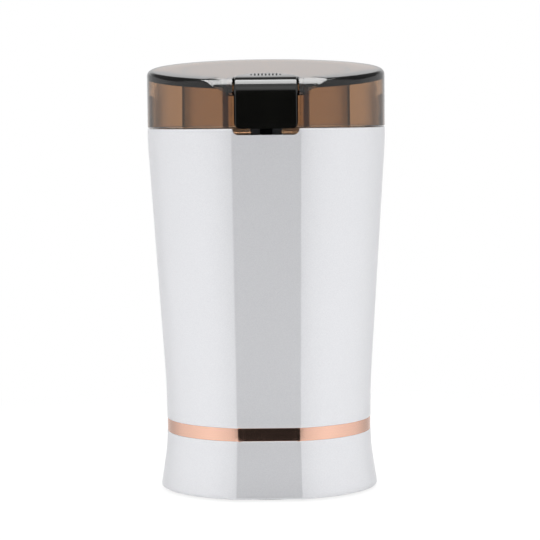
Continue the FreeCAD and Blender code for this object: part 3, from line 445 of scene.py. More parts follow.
@dataclass(frozen=True)
class ClearPlastic(Finish):
    """Tinted see-through plastic, polished, that deepens where it is thick; clearer at collar and tab."""

    index: float = 1.49
    roughness: Point = (0.0, 0.012)
    marks_scale: float = 30.0
    absorbed: Colour = (0.1, 0.155, 0.215)
    density_margin: float = 1.1
    clear_radius: Point = (35.2, 36.4)
    clear_below: float = 169.2
    clear_fade: float = 0.4
    tab_top: float = SEAM
    tab_fade: float = 0.3
    rib_sides: Point = (14.7, 16.9)
    rib_side_fade: float = 0.2
    rib_back: float = 42.3
    rib_back_fade: float = 0.1
    rib_top: float = 165.5
    rib_top_fade: float = 0.5
    rib_foot: Point = (149.2, 149.5)
    # painted shade: a darker tint for the pocket's side walls, which look dark when seen edge-on through the
    # lid
    rib_painted_shade: Colour = (0.09, 0.05, 0.035)

    def make(self) -> bpy.types.Material:
        """Clear plastic whose tint lies partly at its faces and partly through its thickness, with a painted
        shade on the pocket's side walls.

        Returns:
            The material.
        """
        material, shader = self.start()
        tree, place = material.node_tree, self.place(material)
        self.handled(material, shader, place, self.marks_scale, self.roughness)
        tint = add_node(tree, "ShaderNodeMix", {"Factor": self.clear_share(tree, place),
                                                "A": (*self.colour, 1.0), "B": (*self.second, 1.0)},
                        data_type="RGBA")
        # Painted shade: the pocket's side walls take a darker colour for their dark look when seen edge-on
        painted_shade = add_node(tree, "ShaderNodeMix", {"Factor": self.rib_shade_share(tree, place),
                                                "A": tint.outputs["Result"], "B": (*self.rib_painted_shade, 1.0)},
                        data_type="RGBA")
        tree.links.new(painted_shade.outputs["Result"], shader.inputs["Base Color"])
        shader.inputs["Transmission Weight"].default_value = 1.0
        shader.inputs["IOR"].default_value = self.index
        density = max(self.absorbed) / MM * self.density_margin
        left = [1 - each / MM / density for each in self.absorbed]
        body = add_node(tree, "ShaderNodeVolumeAbsorption", {"Density": density, "Color": (*left, 1.0)})
        tree.links.new(body.outputs["Volume"], tree.nodes["Material Output"].inputs["Volume"])
        return material

    @staticmethod
    def fade(tree: bpy.types.NodeTree, value: bpy.types.NodeSocket, out: float, within: float
             ) -> bpy.types.NodeSocket:
        """A share that goes from 0 to 1 while a length goes from one limit to another.

        Args:
            tree: The material's node tree.
            value: The length.
            out: The limit in millimetres where the share is 0.
            within: The limit in millimetres where it is 1.

        Returns:
            The share's socket.
        """
        limits = {"Value": value, "From Min": out * MM, "From Max": within * MM}
        return add_node(tree, "ShaderNodeMapRange", limits).outputs["Result"]

    def clear_share(self, tree: bpy.types.NodeTree, place: bpy.types.NodeSocket) -> bpy.types.NodeSocket:
        """How much a point lies on the thin inner collar, below the sloping top, or on the tab.

        Args:
            tree: The material's node tree.
            place: Object coordinates.

        Returns:
            A value between 0 and 1.
        """
        apart = add_node(tree, "ShaderNodeSeparateXYZ", {0: place})
        flat = add_node(tree, "ShaderNodeVectorMath", {0: place, 1: (1.0, 1.0, 0.0)}, operation="MULTIPLY")
        radius = add_node(tree, "ShaderNodeVectorMath", {0: flat.outputs[0]}, operation="LENGTH")
        inside = self.fade(tree, radius.outputs["Value"], self.clear_radius[1], self.clear_radius[0])
        level = add_math(tree, "MULTIPLY_ADD", apart.outputs["Y"], -math.tan(math.radians(SLOPE)),
                         apart.outputs["Z"])
        under = self.fade(tree, level, self.clear_below + self.clear_fade, self.clear_below)
        tab = self.fade(tree, apart.outputs["Z"], self.tab_top + self.tab_fade, self.tab_top - self.tab_fade)
        return add_math(tree, "MAXIMUM", add_math(tree, "MULTIPLY", inside, under), tab)

    def rib_shade_share(self, tree: bpy.types.NodeTree, place: bpy.types.NodeSocket) -> bpy.types.NodeSocket:
        """How much a point lies on the ribs at both sides of the button's pocket, where a painted shade
        darkens the tint.

        Args:
            tree: The material's node tree.
            place: Object coordinates.

        Returns:
            A value between 0 and 1.
        """
        apart = add_node(tree, "ShaderNodeSeparateXYZ", {0: place})
        aside = add_math(tree, "ABSOLUTE", apart.outputs["X"])
        ahead, up = apart.outputs["Y"], apart.outputs["Z"]
        (near, far), soft = self.rib_sides, self.rib_side_fade
        limits = ((aside, near - soft, near + soft), (aside, far + soft, far - soft),
                  (ahead, self.rib_back_fade - self.rib_back, -self.rib_back_fade - self.rib_back),
                  (up, self.rib_top + self.rib_top_fade, self.rib_top - self.rib_top_fade),
                  (up, *self.rib_foot))
        share, *others = [self.fade(tree, *each) for each in limits]
        for other in others:
            share = add_math(tree, "MULTIPLY", share, other)
        return share


@dataclass(frozen=True)
class GlossPlastic(Finish):
    """Opaque plastic with a polished face."""

    roughness: Point = (0.06, 0.14)
    marks_scale: float = 55.0
    flow_scale: float = 900.0
    flow_mottle: float = 0.7
    flow_height: float = 0.002
    flow_felt: float = 0.1

    def make(self) -> bpy.types.Material:
        """Polish that drifts with handling, over a faint flow of the moulding.

        Returns:
            The material.
        """
        material, shader = self.start()
        place = self.place(material)
        self.handled(material, shader, place, self.marks_scale, self.roughness)
        flow = self.effect(material, "moulded_grain", place, Scale=self.flow_scale, Mottle=self.flow_mottle)
        self.tones(material, shader, flow.outputs["Tone"])
        self.bump(material, shader, flow.outputs["Height"], self.flow_height, self.flow_felt)
        return material


@dataclass(frozen=True)
class Grained(Finish):
    """Plastic, rubber or coated metal with an even fine grain."""

    roughness: Point = (0.5, 0.62)
    scale: float = 3000.0
    depth: float = 0.02
    metallic: float = 0.0
    mottle: float = 0.4
    felt: float = 0.5
    marks_scale: float = 60.0

    def make(self) -> bpy.types.Material:
        """Grain in the relief and the colour, and a drifting roughness.

        Returns:
            The material.
        """
        material, shader = self.start()
        place = self.place(material)
        grain = self.effect(material, "moulded_grain", place, Scale=self.scale, Mottle=self.mottle)
        self.handled(material, shader, place, self.marks_scale, self.roughness)
        self.tones(material, shader, grain.outputs["Tone"])
        self.bump(material, shader, grain.outputs["Height"], self.depth, self.felt)
        shader.inputs["Metallic"].default_value = self.metallic
        return material


FINISHES: dict[Slot, Finish] = {
    Slot.BODY_WHITE: PearlGloss("pearl_white", (0.708, 0.712, 0.739), (0.761, 0.766, 0.788)),
    Slot.ROSE_GOLD: BrushedMetal("rose_gold", (0.93, 0.57, 0.44), (0.95, 0.60, 0.47), (0.2, 0.27),
                                 depth=0.0003),
    Slot.LID_SMOKE: ClearPlastic("smoked_clear", (0.75, 0.64, 0.535), (1.0, 1.0, 1.0)),
    Slot.BUTTON_BLACK: GlossPlastic("piano_black", (0.003, 0.003, 0.0027), (0.0045, 0.0045, 0.004)),
    Slot.DECK_BLACK: Grained("deck_grain", (0.018, 0.018, 0.019), (0.03, 0.03, 0.031)),
    Slot.PLATE_WHITE: Grained("satin_white", (0.76, 0.76, 0.775), (0.80, 0.80, 0.81), (0.35, 0.45)),
    Slot.BOWL_STEEL: BrushedMetal("spun_steel", (0.62, 0.62, 0.63), (0.70, 0.70, 0.71), (0.22, 0.36),
                                  fine=5000.0),
    Slot.BLADE_STEEL: BrushedMetal("ground_steel", (0.58, 0.58, 0.59), (0.66, 0.66, 0.67), (0.16, 0.3),
                                   across=2500.0, fine=60.0),
    Slot.SPRING_STEEL: BrushedMetal("wire_steel", (0.50, 0.50, 0.51), (0.58, 0.58, 0.59), (0.25, 0.4)),
    Slot.SCREW_ZINC: BrushedMetal("zinc_plate", (0.60, 0.60, 0.58), (0.68, 0.68, 0.67), (0.28, 0.42),
                                  across=600.0, fine=600.0),
    Slot.RUBBER_BLACK: Grained("soft_rubber", (0.012, 0.012, 0.012), (0.022, 0.022, 0.022),
                               (0.62, 0.78), 2200.0, 0.03),
    Slot.LAMINATIONS: BrushedMetal("sheet_stack", (0.24, 0.25, 0.27), (0.36, 0.37, 0.39), (0.35, 0.5),
                                   across=5.0, fine=12000.0, depth=0.02),
    Slot.BRACKET_STEEL: Grained("coated_steel", (0.42, 0.43, 0.45), (0.50, 0.51, 0.53), (0.3, 0.45),
                                1200.0, 0.01, 0.6),
    Slot.COPPER: BrushedMetal("enamelled_copper", (0.55, 0.20, 0.09), (0.72, 0.34, 0.18), (0.2, 0.35),
                              across=150.0, fine=4200.0, depth=0.08),
    Slot.BRONZE: Grained("sintered_bronze", (0.48, 0.32, 0.15), (0.60, 0.42, 0.22), (0.4, 0.55),
                         2600.0, 0.02, 1.0),
    Slot.BRASS: BrushedMetal("drawn_brass", (0.70, 0.53, 0.24), (0.78, 0.62, 0.32), (0.2, 0.34)),
    Slot.CARBON: Grained("pressed_carbon", (0.03, 0.03, 0.032), (0.06, 0.06, 0.065), (0.45, 0.6),
                         1800.0, 0.02),
    Slot.FAN_NYLON: Grained("dark_nylon", (0.06, 0.06, 0.066), (0.085, 0.085, 0.09), (0.4, 0.52)),
    Slot.SWITCH_CASE: Grained("thermoset", (0.045, 0.045, 0.05), (0.065, 0.065, 0.07), (0.35, 0.5)),
    Slot.CAPACITOR_CASE: GlossPlastic("cast_yellow", (0.60, 0.42, 0.06), (0.68, 0.50, 0.09)),
}


class Palette:
    """The finishes as materials, each made when it is first asked for."""

    def __init__(self) -> None:
        """Start with nothing made."""
        self.made: dict[Slot, bpy.types.Material] = {}

    def get(self, slot: Slot) -> bpy.types.Material:
        """The material of a slot.

        Args:
            slot: The record's slot.

        Returns:
            The material.
        """
        if slot not in self.made:
            self.made[slot] = FINISHES[slot].make()
        return self.made[slot]


PALETTE = Palette()


# Mesh helpers


def chain(form: bmesh.types.BMesh, points: Sequence[Point], closed: bool) -> list[bmesh.types.BMEdge]:
    """A run of edges through (radius, height) points on the front half-plane, in millimetres.

    Args:
        form: The bmesh that takes them.
        points: The section's points.
        closed: Whether the last point joins the first.

    Returns:
        The edges.
    """
    verts = [form.verts.new((0.0, -radius * MM, z * MM)) for radius, z in points]
    edges = [form.edges.new(pair) for pair in zip(verts, verts[1:])]
    if closed:
        edges.append(form.edges.new((verts[-1], verts[0])))
    return edges


def spun(form: bmesh.types.BMesh, points: Sequence[Point], steps: int, closed: bool = False) -> None:
    """Spin a section once round the shaft axis.

    Args:
        form: The bmesh that takes the surface.
        points: The section's (radius, height) points in millimetres.
        steps: How many columns of faces go round.
        closed: Whether the section is a loop.
    """
    edges = chain(form, points, closed)
    verts = list({vert for edge in edges for vert in edge.verts})
    bmesh.ops.spin(form, geom=verts + edges, cent=(0, 0, 0), axis=(0, 0, 1), dvec=(0, 0, 0),
                   angle=2 * math.pi, steps=steps, use_merge=True, use_normal_flip=False,
                   use_duplicate=False)
    bmesh.ops.remove_doubles(form, verts=form.verts, dist=1e-7)
    bmesh.ops.recalc_face_normals(form, faces=form.faces)


def arc(centre: Point, radius: float, start: float, end: float, steps: int) -> list[Point]:
    """Points on an arc.

    Args:
        centre: The arc's centre.
        radius: Its radius.
        start: The first angle in degrees.
        end: The last angle in degrees.
        steps: How many parts it has.

    Returns:
        The points, both ends included.
    """
    angles = [math.radians(start + (end - start) * step / steps) for step in range(steps + 1)]
    return [(centre[0] + radius * math.cos(angle), centre[1] + radius * math.sin(angle))
            for angle in angles]


def piece_from(form: bmesh.types.BMesh, name: str) -> bpy.types.Object:
    """An object from a bmesh, at the origin.

    Args:
        form: The bmesh, which is freed.
        name: The piece's name.

    Returns:
        The object.
    """
    mesh = bpy.data.meshes.new(name)
    form.to_mesh(mesh)
    form.free()
    piece = bpy.data.objects.new(name, mesh)
    bpy.context.scene.collection.objects.link(piece)
    return piece


def block(x: Point, y: Point, z: Point, name: str = "block") -> bpy.types.Object:
    """A cutter or filler block between two corners, in millimetres.

    Args:
        x: Its span along X.
        y: Its span along Y.
        z: Its span along Z.
        name: Its name.

    Returns:
        The block.
    """
    form = bmesh.new()
    bmesh.ops.create_cube(form, size=1.0)
    size = Vector([(high - low) * MM for low, high in (x, y, z)])
    middle = Vector([(high + low) / 2 * MM for low, high in (x, y, z)])
    bmesh.ops.scale(form, vec=size, verts=form.verts)
    bmesh.ops.translate(form, vec=middle, verts=form.verts)
    return piece_from(form, name)


def prism(outline: Sequence[Point], z: Point, rounded: Sequence[tuple[int, float]] = ()) -> bpy.types.Object:
    """An upright prism over a plan outline, some of whose corners are rounded.

    Args:
        outline: The plan's (x, y) points in millimetres.
        z: The prism's span along Z.
        rounded: Pairs of a corner's number and its radius.

    Returns:
        The prism.
    """
    form = bmesh.new()
    verts = [form.verts.new((x * MM, y * MM, z[0] * MM)) for x, y in outline]
    form.faces.new(verts)
    for number, radius in rounded:
        bmesh.ops.bevel(form, geom=[verts[number]], offset=radius * MM, offset_type="OFFSET", segments=6,
                        profile=0.5, affect="VERTICES", material=-1)
    grown = bmesh.ops.extrude_face_region(form, geom=list(form.faces))
    top = [item for item in grown["geom"] if isinstance(item, bmesh.types.BMVert)]
    bmesh.ops.translate(form, vec=(0, 0, (z[1] - z[0]) * MM), verts=top)
    bmesh.ops.recalc_face_normals(form, faces=form.faces)
    return piece_from(form, "prism")


def moved(piece: bpy.types.Object, matrix: Matrix) -> bpy.types.Object:
    """A piece whose mesh is turned or moved.

    Args:
        piece: The piece.
        matrix: The transform.

    Returns:
        The same piece.
    """
    piece.data.transform(matrix)
    return piece


# The turn that stands a drawn plan up, so that it faces the front
UPRIGHT = Matrix.Rotation(math.radians(90), 4, "X")


def sloped(height: float) -> Matrix:
    """The move from the ground to a height on the shaft axis, with the lid's slope."""
    return Matrix.Translation((0, 0, height * MM)) @ Matrix.Rotation(math.radians(SLOPE), 4, "X")


def combine(piece: bpy.types.Object, others: Iterable[bpy.types.Object], way: Cut) -> bpy.types.Object:
    """A piece cut by, joined to or kept within other solids, which are then removed.

    Args:
        piece: The piece that changes.
        others: The solids that change it, one after another.
        way: How they change it.

    Returns:
        The same piece with its new mesh.
    """
    others = list(others)
    for other in others:
        modifier = piece.modifiers.new("combine", "BOOLEAN")
        modifier.operation = way.value
        modifier.solver = "MANIFOLD"
        modifier.object = other
    bpy.context.view_layer.update()
    result = piece.evaluated_get(bpy.context.evaluated_depsgraph_get())
    mesh = bpy.data.meshes.new_from_object(result)
    piece.modifiers.clear()
    piece.data = mesh
    for other in others:
        bpy.data.objects.remove(other)
    return piece


def tidied(piece: bpy.types.Object, angle: float = 32.0) -> bpy.types.Object:
    """A piece with its doubles merged and its faces smooth up to an angle.

    Args:
        piece: The piece.
        angle: Edges sharper than this many degrees stay crisp.

    Returns:
        The same piece.
    """
    form = bmesh.new()
    form.from_mesh(piece.data)
    bmesh.ops.remove_doubles(form, verts=form.verts, dist=2e-7)
    bmesh.ops.dissolve_degenerate(form, edges=form.edges, dist=1e-7)
    form.to_mesh(piece.data)
    form.free()
    piece.data.shade_smooth()
    piece.data.set_sharp_from_angle(angle=math.radians(angle))
    return piece


def dressed(piece: bpy.types.Object, slot: Slot, body: Body, nodes: Sequence[str] = ()) -> bpy.types.Object:
    """A finished piece: its material, what it rides on and the nodes it stands for.

    Args:
        piece: The piece.
        slot: Its material slot.
        body: The body that it moves with.
        nodes: The CAD nodes that it replaces.

    Returns:
        The same piece.
    """
    piece.data.materials.clear()
    piece.data.materials.append(PALETTE.get(slot))
    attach(piece, body.value)
    if nodes:
        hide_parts(*nodes)
    LOG.info("%s: %d faces on %s", piece.name, len(piece.data.polygons), body.value)
    return piece


@dataclass
class BentSide:
    """A side of the housing: upright at its bent ends, with a straight taper between the bends."""

    low_radius: float
    low: float
    high_radius: float
    high: float
    low_bend: float = 0.0
    high_bend: float = 0.0

    def points(self, inset: float = 0.0) -> list[Point]:
        """The side from the bottom up.

        Args:
            inset: How far it is moved in.

        Returns:
            Its (radius, height) points.
        """
        straight = self.high - self.low - self.low_bend - self.high_bend
        half_slope = (self.high_radius - self.low_radius) / (self.low_bend + self.high_bend + 2 * straight)
        slope = 2 * math.atan(half_slope)
        start = self.bend(self.low_radius, self.low, self.low_bend, slope, 1)
        end = self.bend(self.high_radius, self.high, self.high_bend, slope, -1)
        rows = 6
        first, last = start[-1], end[0]
        middle = [(first[0] + (last[0] - first[0]) * row / rows, first[1] + (last[1] - first[1]) * row / rows)
                  for row in range(1, rows)]
        return [(radius - inset, z) for radius, z in start + middle + end]

    @staticmethod
    def bend(radius: float, z: float, rise: float, slope: float, way: int) -> list[Point]:
        """The points of one bend, from the bottom up.

        Args:
            radius: The radius at its upright end.
            z: The height of that end.
            rise: The bend's height.
            slope: The angle that it turns through, in radians.
            way: 1 for a bend that starts upright, -1 for one that ends upright.

        Returns:
            The points.
        """
        if rise == 0.0:
            return [(radius, z)]
        bend_radius = rise / math.sin(slope)
        steps = 8
        points = [(radius + way * bend_radius * (1 - math.cos(slope * step / steps)),
                   z + way * bend_radius * math.sin(slope * step / steps)) for step in range(steps + 1)]
        return points if way == 1 else points[::-1]


@dataclass
class Facet:
    """The flat that runs up the front of the housing."""

    depth: float = 2.05
    columns: int = 144
    half_columns: int = 7
    edge_support: float = 0.7
    edge_round: float = 0.28

    def plane(self, form: bmesh.types.BMesh) -> None:
        """Plane the facet off a spun surface, with its columns of vertices set to the facet's edges.

        Args:
            form: The spun surface.
        """
        step = 2 * math.pi / self.columns
        edge_angle = self.half_columns * step
        rest = self.columns // 2 - self.half_columns
        edge_verts: set[bmesh.types.BMVert] = set()
        for vert in form.verts:
            radius = math.hypot(vert.co.x, vert.co.y)
            if radius < 1e-6:
                continue
            angle = math.atan2(vert.co.x, -vert.co.y)
            column = round(abs(angle) / step)
            way = math.copysign(1.0, angle)
            half_width = math.sqrt(radius ** 2 - (radius - self.depth * MM) ** 2)
            turn = math.asin(half_width / radius)
            if column < self.half_columns:
                share = column / (self.half_columns - 1)
                vert.co.x = way * share * (half_width - self.edge_support * MM)
                vert.co.y = -(radius - self.depth * MM)
                continue
            if column > self.half_columns:
                first = turn + self.edge_support * MM / radius
                share = (column - self.half_columns - 1) / (rest - 1)
                turn = first + share * (math.pi - first)
            else:
                edge_verts.add(vert)
            vert.co.x = way * radius * math.sin(turn)
            vert.co.y = -radius * math.cos(turn)
        edges = [edge for edge in form.edges if edge.verts[0] in edge_verts and edge.verts[1] in edge_verts
                 and edge.verts[0].co.x * edge.verts[1].co.x > 0]
        upright = [edge for edge in edges if edge.calc_length() > 0]
        bmesh.ops.bevel(form, geom=upright, offset=self.edge_round * MM, offset_type="OFFSET", segments=3,
                        profile=0.5, affect="EDGES", material=-1, clamp_overlap=True)


def rounded_corner(before: Point, corner: Point, after: Point, radius: float, steps: int = 4) -> list[Point]:
    """Points that round a section's corner.

    Args:
        before: The point before the corner.
        corner: The corner.
        after: The point after it.
        radius: How far from the corner the round begins.
        steps: How many parts it has.

    Returns:
        The points of the round.
    """
    centre = Vector(corner)
    start = centre + (Vector(before) - centre).normalized() * radius
    end = centre + (Vector(after) - centre).normalized() * radius
    points = []
    for step in range(steps + 1):
        share = step / steps
        point = start * (1 - share) ** 2 + centre * 2 * share * (1 - share) + end * share ** 2
        points.append((point.x, point.y))
    return points


def closed_wall(outer: Sequence[Point], inner: Sequence[Point], low_round: float, high_round: float
                ) -> list[Point]:
    """A wall's section: up the outside, over the top and down the inside, with rounded outer corners.

    Args:
        outer: The outside from the bottom up.
        inner: The inside from the bottom up.
        low_round: The round at the bottom outer corner.
        high_round: The round at the top corners.

    Returns:
        The section as a closed loop of points.
    """
    gap = 0.05
    low = rounded_corner(inner[0], outer[0], outer[1], low_round)
    high = rounded_corner(outer[-2], outer[-1], inner[-1], high_round)
    inside = rounded_corner(outer[-1], inner[-1], inner[-2], high_round / 2, 2)
    kept = [point for point in outer[1:-1] if low[-1][1] + gap < point[1] < high[0][1] - gap]
    back = [point for point in inner[1:-1] if point[1] < inside[-1][1] - gap]
    return low + kept + high + inside + back[::-1] + [inner[0]]


@dataclass
class Housing:
    """The waisted body, the accent band and the flared base."""

    foot_stand: float = 0.8
    base_radius: float = 45.0
    waist_radius: float = 42.3
    rim_radius: float = 49.05
    band_low: float = 24.0
    band_high: float = 29.3
    rim: float = 149.15
    wall: float = 2.5
    waist_bend: float = 22.0
    rim_bend: float = 10.0
    base_bend: float = 10.4
    body_rounds: Point = (0.3, 0.65)
    base_rounds: Point = (1.3, 0.3)
    band_inset: float = 0.15
    band_thickness: float = 0.8
    band_round: float = 0.12
    band_row: float = 1.7
    notch_width: float = 26.3
    notch_drop: float = 2.8
    notch_corner: float = 2.4
    notch_lip: float = 1.0
    notch_flare: float = 6.0
    notch_back: float = 38.0
    notch_over: float = 5.0
    facet: Facet = field(default_factory=Facet)
    band_facet: Facet = field(default_factory=lambda: Facet(edge_support=2.4, edge_round=1.1))

    def build(self) -> None:
        """Build and dress the three outer pieces."""
        self.body()
        self.band()
        self.base()

    @staticmethod
    def ring(outer: Sequence[Point], inner: Sequence[Point], rounds: Point, facet: Facet, name: str
             ) -> bpy.types.Object:
        """A wall spun round the shaft, with the facet planed off.

        Args:
            outer: The outside from the bottom up.
            inner: The inside from the bottom up.
            rounds: The rounds at the bottom and at the top.
            facet: Its facet.
            name: The piece's name.

        Returns:
            The piece.
        """
        form = bmesh.new()
        spun(form, closed_wall(outer, inner, *rounds), facet.columns, True)
        facet.plane(form)
        return piece_from(form, name)

    def body(self) -> bpy.types.Object:
        """The body shell with the notch for the lid's tab.

        Returns:
            The piece.
        """
        side = BentSide(self.waist_radius, self.band_high, self.rim_radius, self.rim, self.waist_bend,
                        self.rim_bend)
        core = BentSide(self.waist_radius, self.band_high, self.rim_radius, self.rim)
        shell = self.ring(side.points(), core.points(self.wall), self.body_rounds, self.facet, "body_case")
        combine(shell, [self.notch()], Cut.AWAY)
        return dressed(tidied(shell), Slot.BODY_WHITE, Body.HOUSING, ["body_shell"])

    def notch(self) -> bpy.types.Object:
        """The cutter for the notch: rounded inner corners and flared lips.

        Returns:
            The cutter.
        """
        half, low, high = self.notch_width / 2, SEAM - self.notch_drop, self.rim + HAIR
        wide, over = half + self.notch_flare, high + self.notch_over
        outline = [(-wide, over), (-wide, high), (-half, high), (-half, low), (half, low), (half, high),
                   (wide, high), (wide, over)]
        rounds = [(2, self.notch_lip), (3, self.notch_corner), (4, self.notch_corner), (5, self.notch_lip)]
        cutter = prism(outline, (self.notch_back, AHEAD), rounds)
        return moved(cutter, UPRIGHT)

    def band(self) -> bpy.types.Object:
        """The metal band, with its facet corners rolled softly.

        Returns:
            The piece.
        """
        radius = self.waist_radius - self.band_inset
        inner = radius - self.band_thickness
        low, high, row = self.band_low, self.band_high, self.band_row
        outside = [(radius, z) for z in (low, low + row, high - row, high)]
        ring = self.ring(outside, [(inner, low), (inner, high)], (self.band_round, self.band_round),
                         self.band_facet, "band_ring")
        return dressed(tidied(ring), Slot.ROSE_GOLD, Body.HOUSING, ["accent_band"])

    def base(self) -> bpy.types.Object:
        """The flared base shell.

        Returns:
            The piece.
        """
        side = BentSide(self.base_radius, self.foot_stand, self.waist_radius, self.band_low, 0.0,
                        self.base_bend)
        core = BentSide(self.base_radius, self.foot_stand, self.waist_radius, self.band_low)
        case = self.ring(side.points(), core.points(self.wall), self.base_rounds, self.facet, "base_case")
        return dressed(tidied(case), Slot.BODY_WHITE, Body.HOUSING, ["base_shell"])


@dataclass(frozen=True)
class ButtonPlan:
    """The button's plan: straight at the front and sides, a three-arc oval behind."""

    half: float = 12.7
    length: float = 15.6
    tip_radius: float = 11.2
    middle: float = 38.0
    steps: int = 14

    def outline(self, front: float, grown: float) -> list[Point]:
        """The plan grown by a gap, or drawn in where the gap is negative.

        Args:
            front: How far forward the front line lies.
            grown: How far the sides and the back are moved out.

        Returns:
            The (x, y) points, from the front right corner round to the front left one.
        """
        half, length, tip_radius = self.half + grown, self.length + grown, self.tip_radius + grown
        side_radius = (half ** 2 + length ** 2 - 2 * length * tip_radius) / (2 * (half - tip_radius))
        turn = math.degrees(math.atan2(length - tip_radius, side_radius - half))
        right = arc((half - side_radius, -self.middle), side_radius, 0.0, turn, self.steps)
        tip = arc((0.0, length - tip_radius - self.middle), tip_radius, turn, 180.0 - turn, self.steps)
        left = [(-x, y) for x, y in reversed(right)]
        return [(half, -front)] + right + tip[1:-1] + left + [(-half, -front)]


@dataclass
class Lid:
    """The clear lid: skin, collar, the button's pocket and the tab, as one moulding."""

    radius: float = 49.0
    wall: float = 2.6
    top_thickness: float = 3.7
    edge_round: float = 2.2
    low: float = 149.45
    top: float = 173.2
    top_rows: Point = (20.0, 38.0)
    under_row: float = 16.0
    sloped_above: float = 10.0
    edge_inset: float = 0.25
    collar_radius: float = 34.8
    collar_wall: float = 1.2
    collar_reach: float = 10.0
    scoop_start: float = 41.0
    scoop_break: float = 43.4
    scoop_slopes: Point = (36.0, 52.0)
    scoop_round: float = 0.6
    scoop_overhang: float = 2.0
    columns: int = 192
    pocket_gap: float = 0.5
    pocket_wall: float = 2.2
    pocket_front: float = 44.6
    pocket_back: float = 42.4
    recess_drop: float = 4.6
    tray_floor: float = 2.0
    well_half: float = 12.3
    well_wall: float = 2.0
    well_depth: float = 5.1
    well_back: float = 35.7
    well_floor: float = 155.96
    well_top_drop: float = 6.0
    well_set_back: float = 0.2
    join_depth: float = 0.5
    tab_width: float = 25.6
    tab_drop: float = 2.5
    tab_corner: float = 2.4
    tab_root: float = 3.0
    pin_half_width: float = 2.5
    pin_half_depth: float = 1.8
    press_line: float = 40.6
    block_half: float = 6.55
    block_back: float = 37.6
    cut_low: float = 139.0
    slab_depth: float = 60.0
    slab_half: float = 80.0
    plan: ButtonPlan = field(default_factory=ButtonPlan)

    def build(self) -> bpy.types.Object:
        """Build and dress the lid.

        Returns:
            The piece.
        """
        form = bmesh.new()
        spun(form, self.section(), self.columns, False)
        self.shear(form)
        lid = piece_from(form, "lid_clear")
        combine(lid, [self.scoop()], Cut.AWAY)
        pocket = self.plan.half + self.pocket_gap
        outside = pocket + self.pocket_wall
        cheeks = combine(block((-outside, outside), (-AHEAD, -self.pocket_back + HAIR),
                               (self.low + 2 * HAIR, ABOVE), "cheeks"), [self.outline_solid()], Cut.KEEP)
        rim = self.plan.outline(self.pocket_front - 3 * HAIR, self.pocket_gap + self.pocket_wall)
        tray = combine(prism(rim, (SEAM, ABOVE)),
                       [self.slab(-self.recess_drop - self.tray_floor, -self.join_depth)], Cut.KEEP)
        combine(tray, [self.scoop()], Cut.AWAY)
        well = combine(block((-self.well_half, self.well_half),
                             (-self.pocket_front + self.well_set_back, -self.well_back),
                             (self.well_floor - self.well_wall, ABOVE), "well"),
                       [self.slab(-self.slab_depth, -self.recess_drop - self.join_depth)], Cut.KEEP)
        combine(lid, [cheeks, tray, well, self.tab()], Cut.JOIN)
        combine(lid, self.cutters(pocket), Cut.AWAY)
        return dressed(tidied(lid, angle=28.0), Slot.LID_SMOKE, Body.LID, ["lid_shell"])

    def section(self) -> list[Point]:
        """The lid's section before its top is sloped, from the axis out, down and back.

        Returns:
            The (radius, height) points.
        """
        top, under = self.top, self.top - self.top_thickness
        inner = self.radius - self.wall
        foot = SEAM - self.collar_reach
        shoulder = arc((self.radius - self.edge_round, top - self.edge_round), self.edge_round, 90.0, 0.0, 8)
        mouth = self.collar_radius - self.collar_wall
        inset = self.edge_inset
        return ([(0.0, top)] + [(row, top) for row in self.top_rows] + shoulder
                + [(self.radius, self.low + inset), (self.radius - inset, self.low), (inner, self.low),
                   (inner, under), (self.collar_radius, under), (self.collar_radius, foot + inset),
                   (self.collar_radius - inset, foot), (mouth + inset, foot), (mouth, foot + inset),
                   (mouth, under), (self.under_row, under), (0.0, under)])

    def shear(self, form: bmesh.types.BMesh) -> None:
        """Slope the top down to the front by moving what lies above the middle of the wall.

        Args:
            form: The spun lid.
        """
        rise = math.tan(math.radians(SLOPE))
        for vert in form.verts:
            if vert.co.z > (self.low + self.sloped_above) * MM:
                vert.co.z += rise * vert.co.y

    def slab(self, low: float, high: float) -> bpy.types.Object:
        """The space between two levels measured from the sloping top.

        Args:
            low: The lower level.
            high: The upper level.

        Returns:
            The solid.
        """
        span = (-self.slab_half, self.slab_half)
        solid = block(span, span, (0.0, (high - low) * math.cos(math.radians(SLOPE))))
        return moved(solid, sloped(self.top + low))

    def scoop(self) -> bpy.types.Object:
        """The cutter for the dip at the lid's front edge: a gentle slope that breaks to a steeper one."""
        rise = math.tan(math.radians(SLOPE))
        near, far = (math.tan(math.radians(each)) for each in self.scoop_slopes)
        start, middle, front = -self.scoop_start, -self.scoop_break, -AHEAD
        back = start + self.scoop_overhang
        level = self.top + rise * start
        middle_level = level + near * (middle - start)
        outline = [(start, level), (middle, middle_level), (front, middle_level + far * (front - middle)),
                   (front, ABOVE), (back, ABOVE)]
        cutter = prism(outline, (-AHEAD, AHEAD), [(1, self.scoop_round)])
        return moved(cutter, Matrix(((0, 0, 1, 0), (1, 0, 0, 0), (0, 1, 0, 0), (0, 0, 0, 1))))

    def outline_solid(self) -> bpy.types.Object:
        """A solid of the lid's outer form, a hair inside it, that trims the cheeks."""
        form = bmesh.new()
        radius, top = self.radius - 2 * HAIR, self.top - 2 * HAIR
        shoulder = arc((radius - self.edge_round, top - self.edge_round), self.edge_round, 90.0, 0.0, 6)
        spun(form, [(0.0, top)] + shoulder + [(radius, self.low), (0.0, self.low)], self.columns)
        self.shear(form)
        solid = piece_from(form, "outline")
        scoop = moved(self.scoop(), Matrix.Translation((0, 0, -2 * HAIR * MM)))
        return combine(solid, [scoop], Cut.AWAY)

    def tab(self) -> bpy.types.Object:
        """The tab that hangs below the pocket into the body's notch."""
        half, low, high = self.tab_width / 2, SEAM - self.tab_drop, self.low + self.tab_root
        outline = [(-half, high), (-half, low), (half, low), (half, high)]
        solid = prism(outline, (self.pocket_back + 5 * HAIR, self.pocket_front - 5 * HAIR),
                      [(1, self.tab_corner), (2, self.tab_corner)])
        return moved(solid, UPRIGHT)

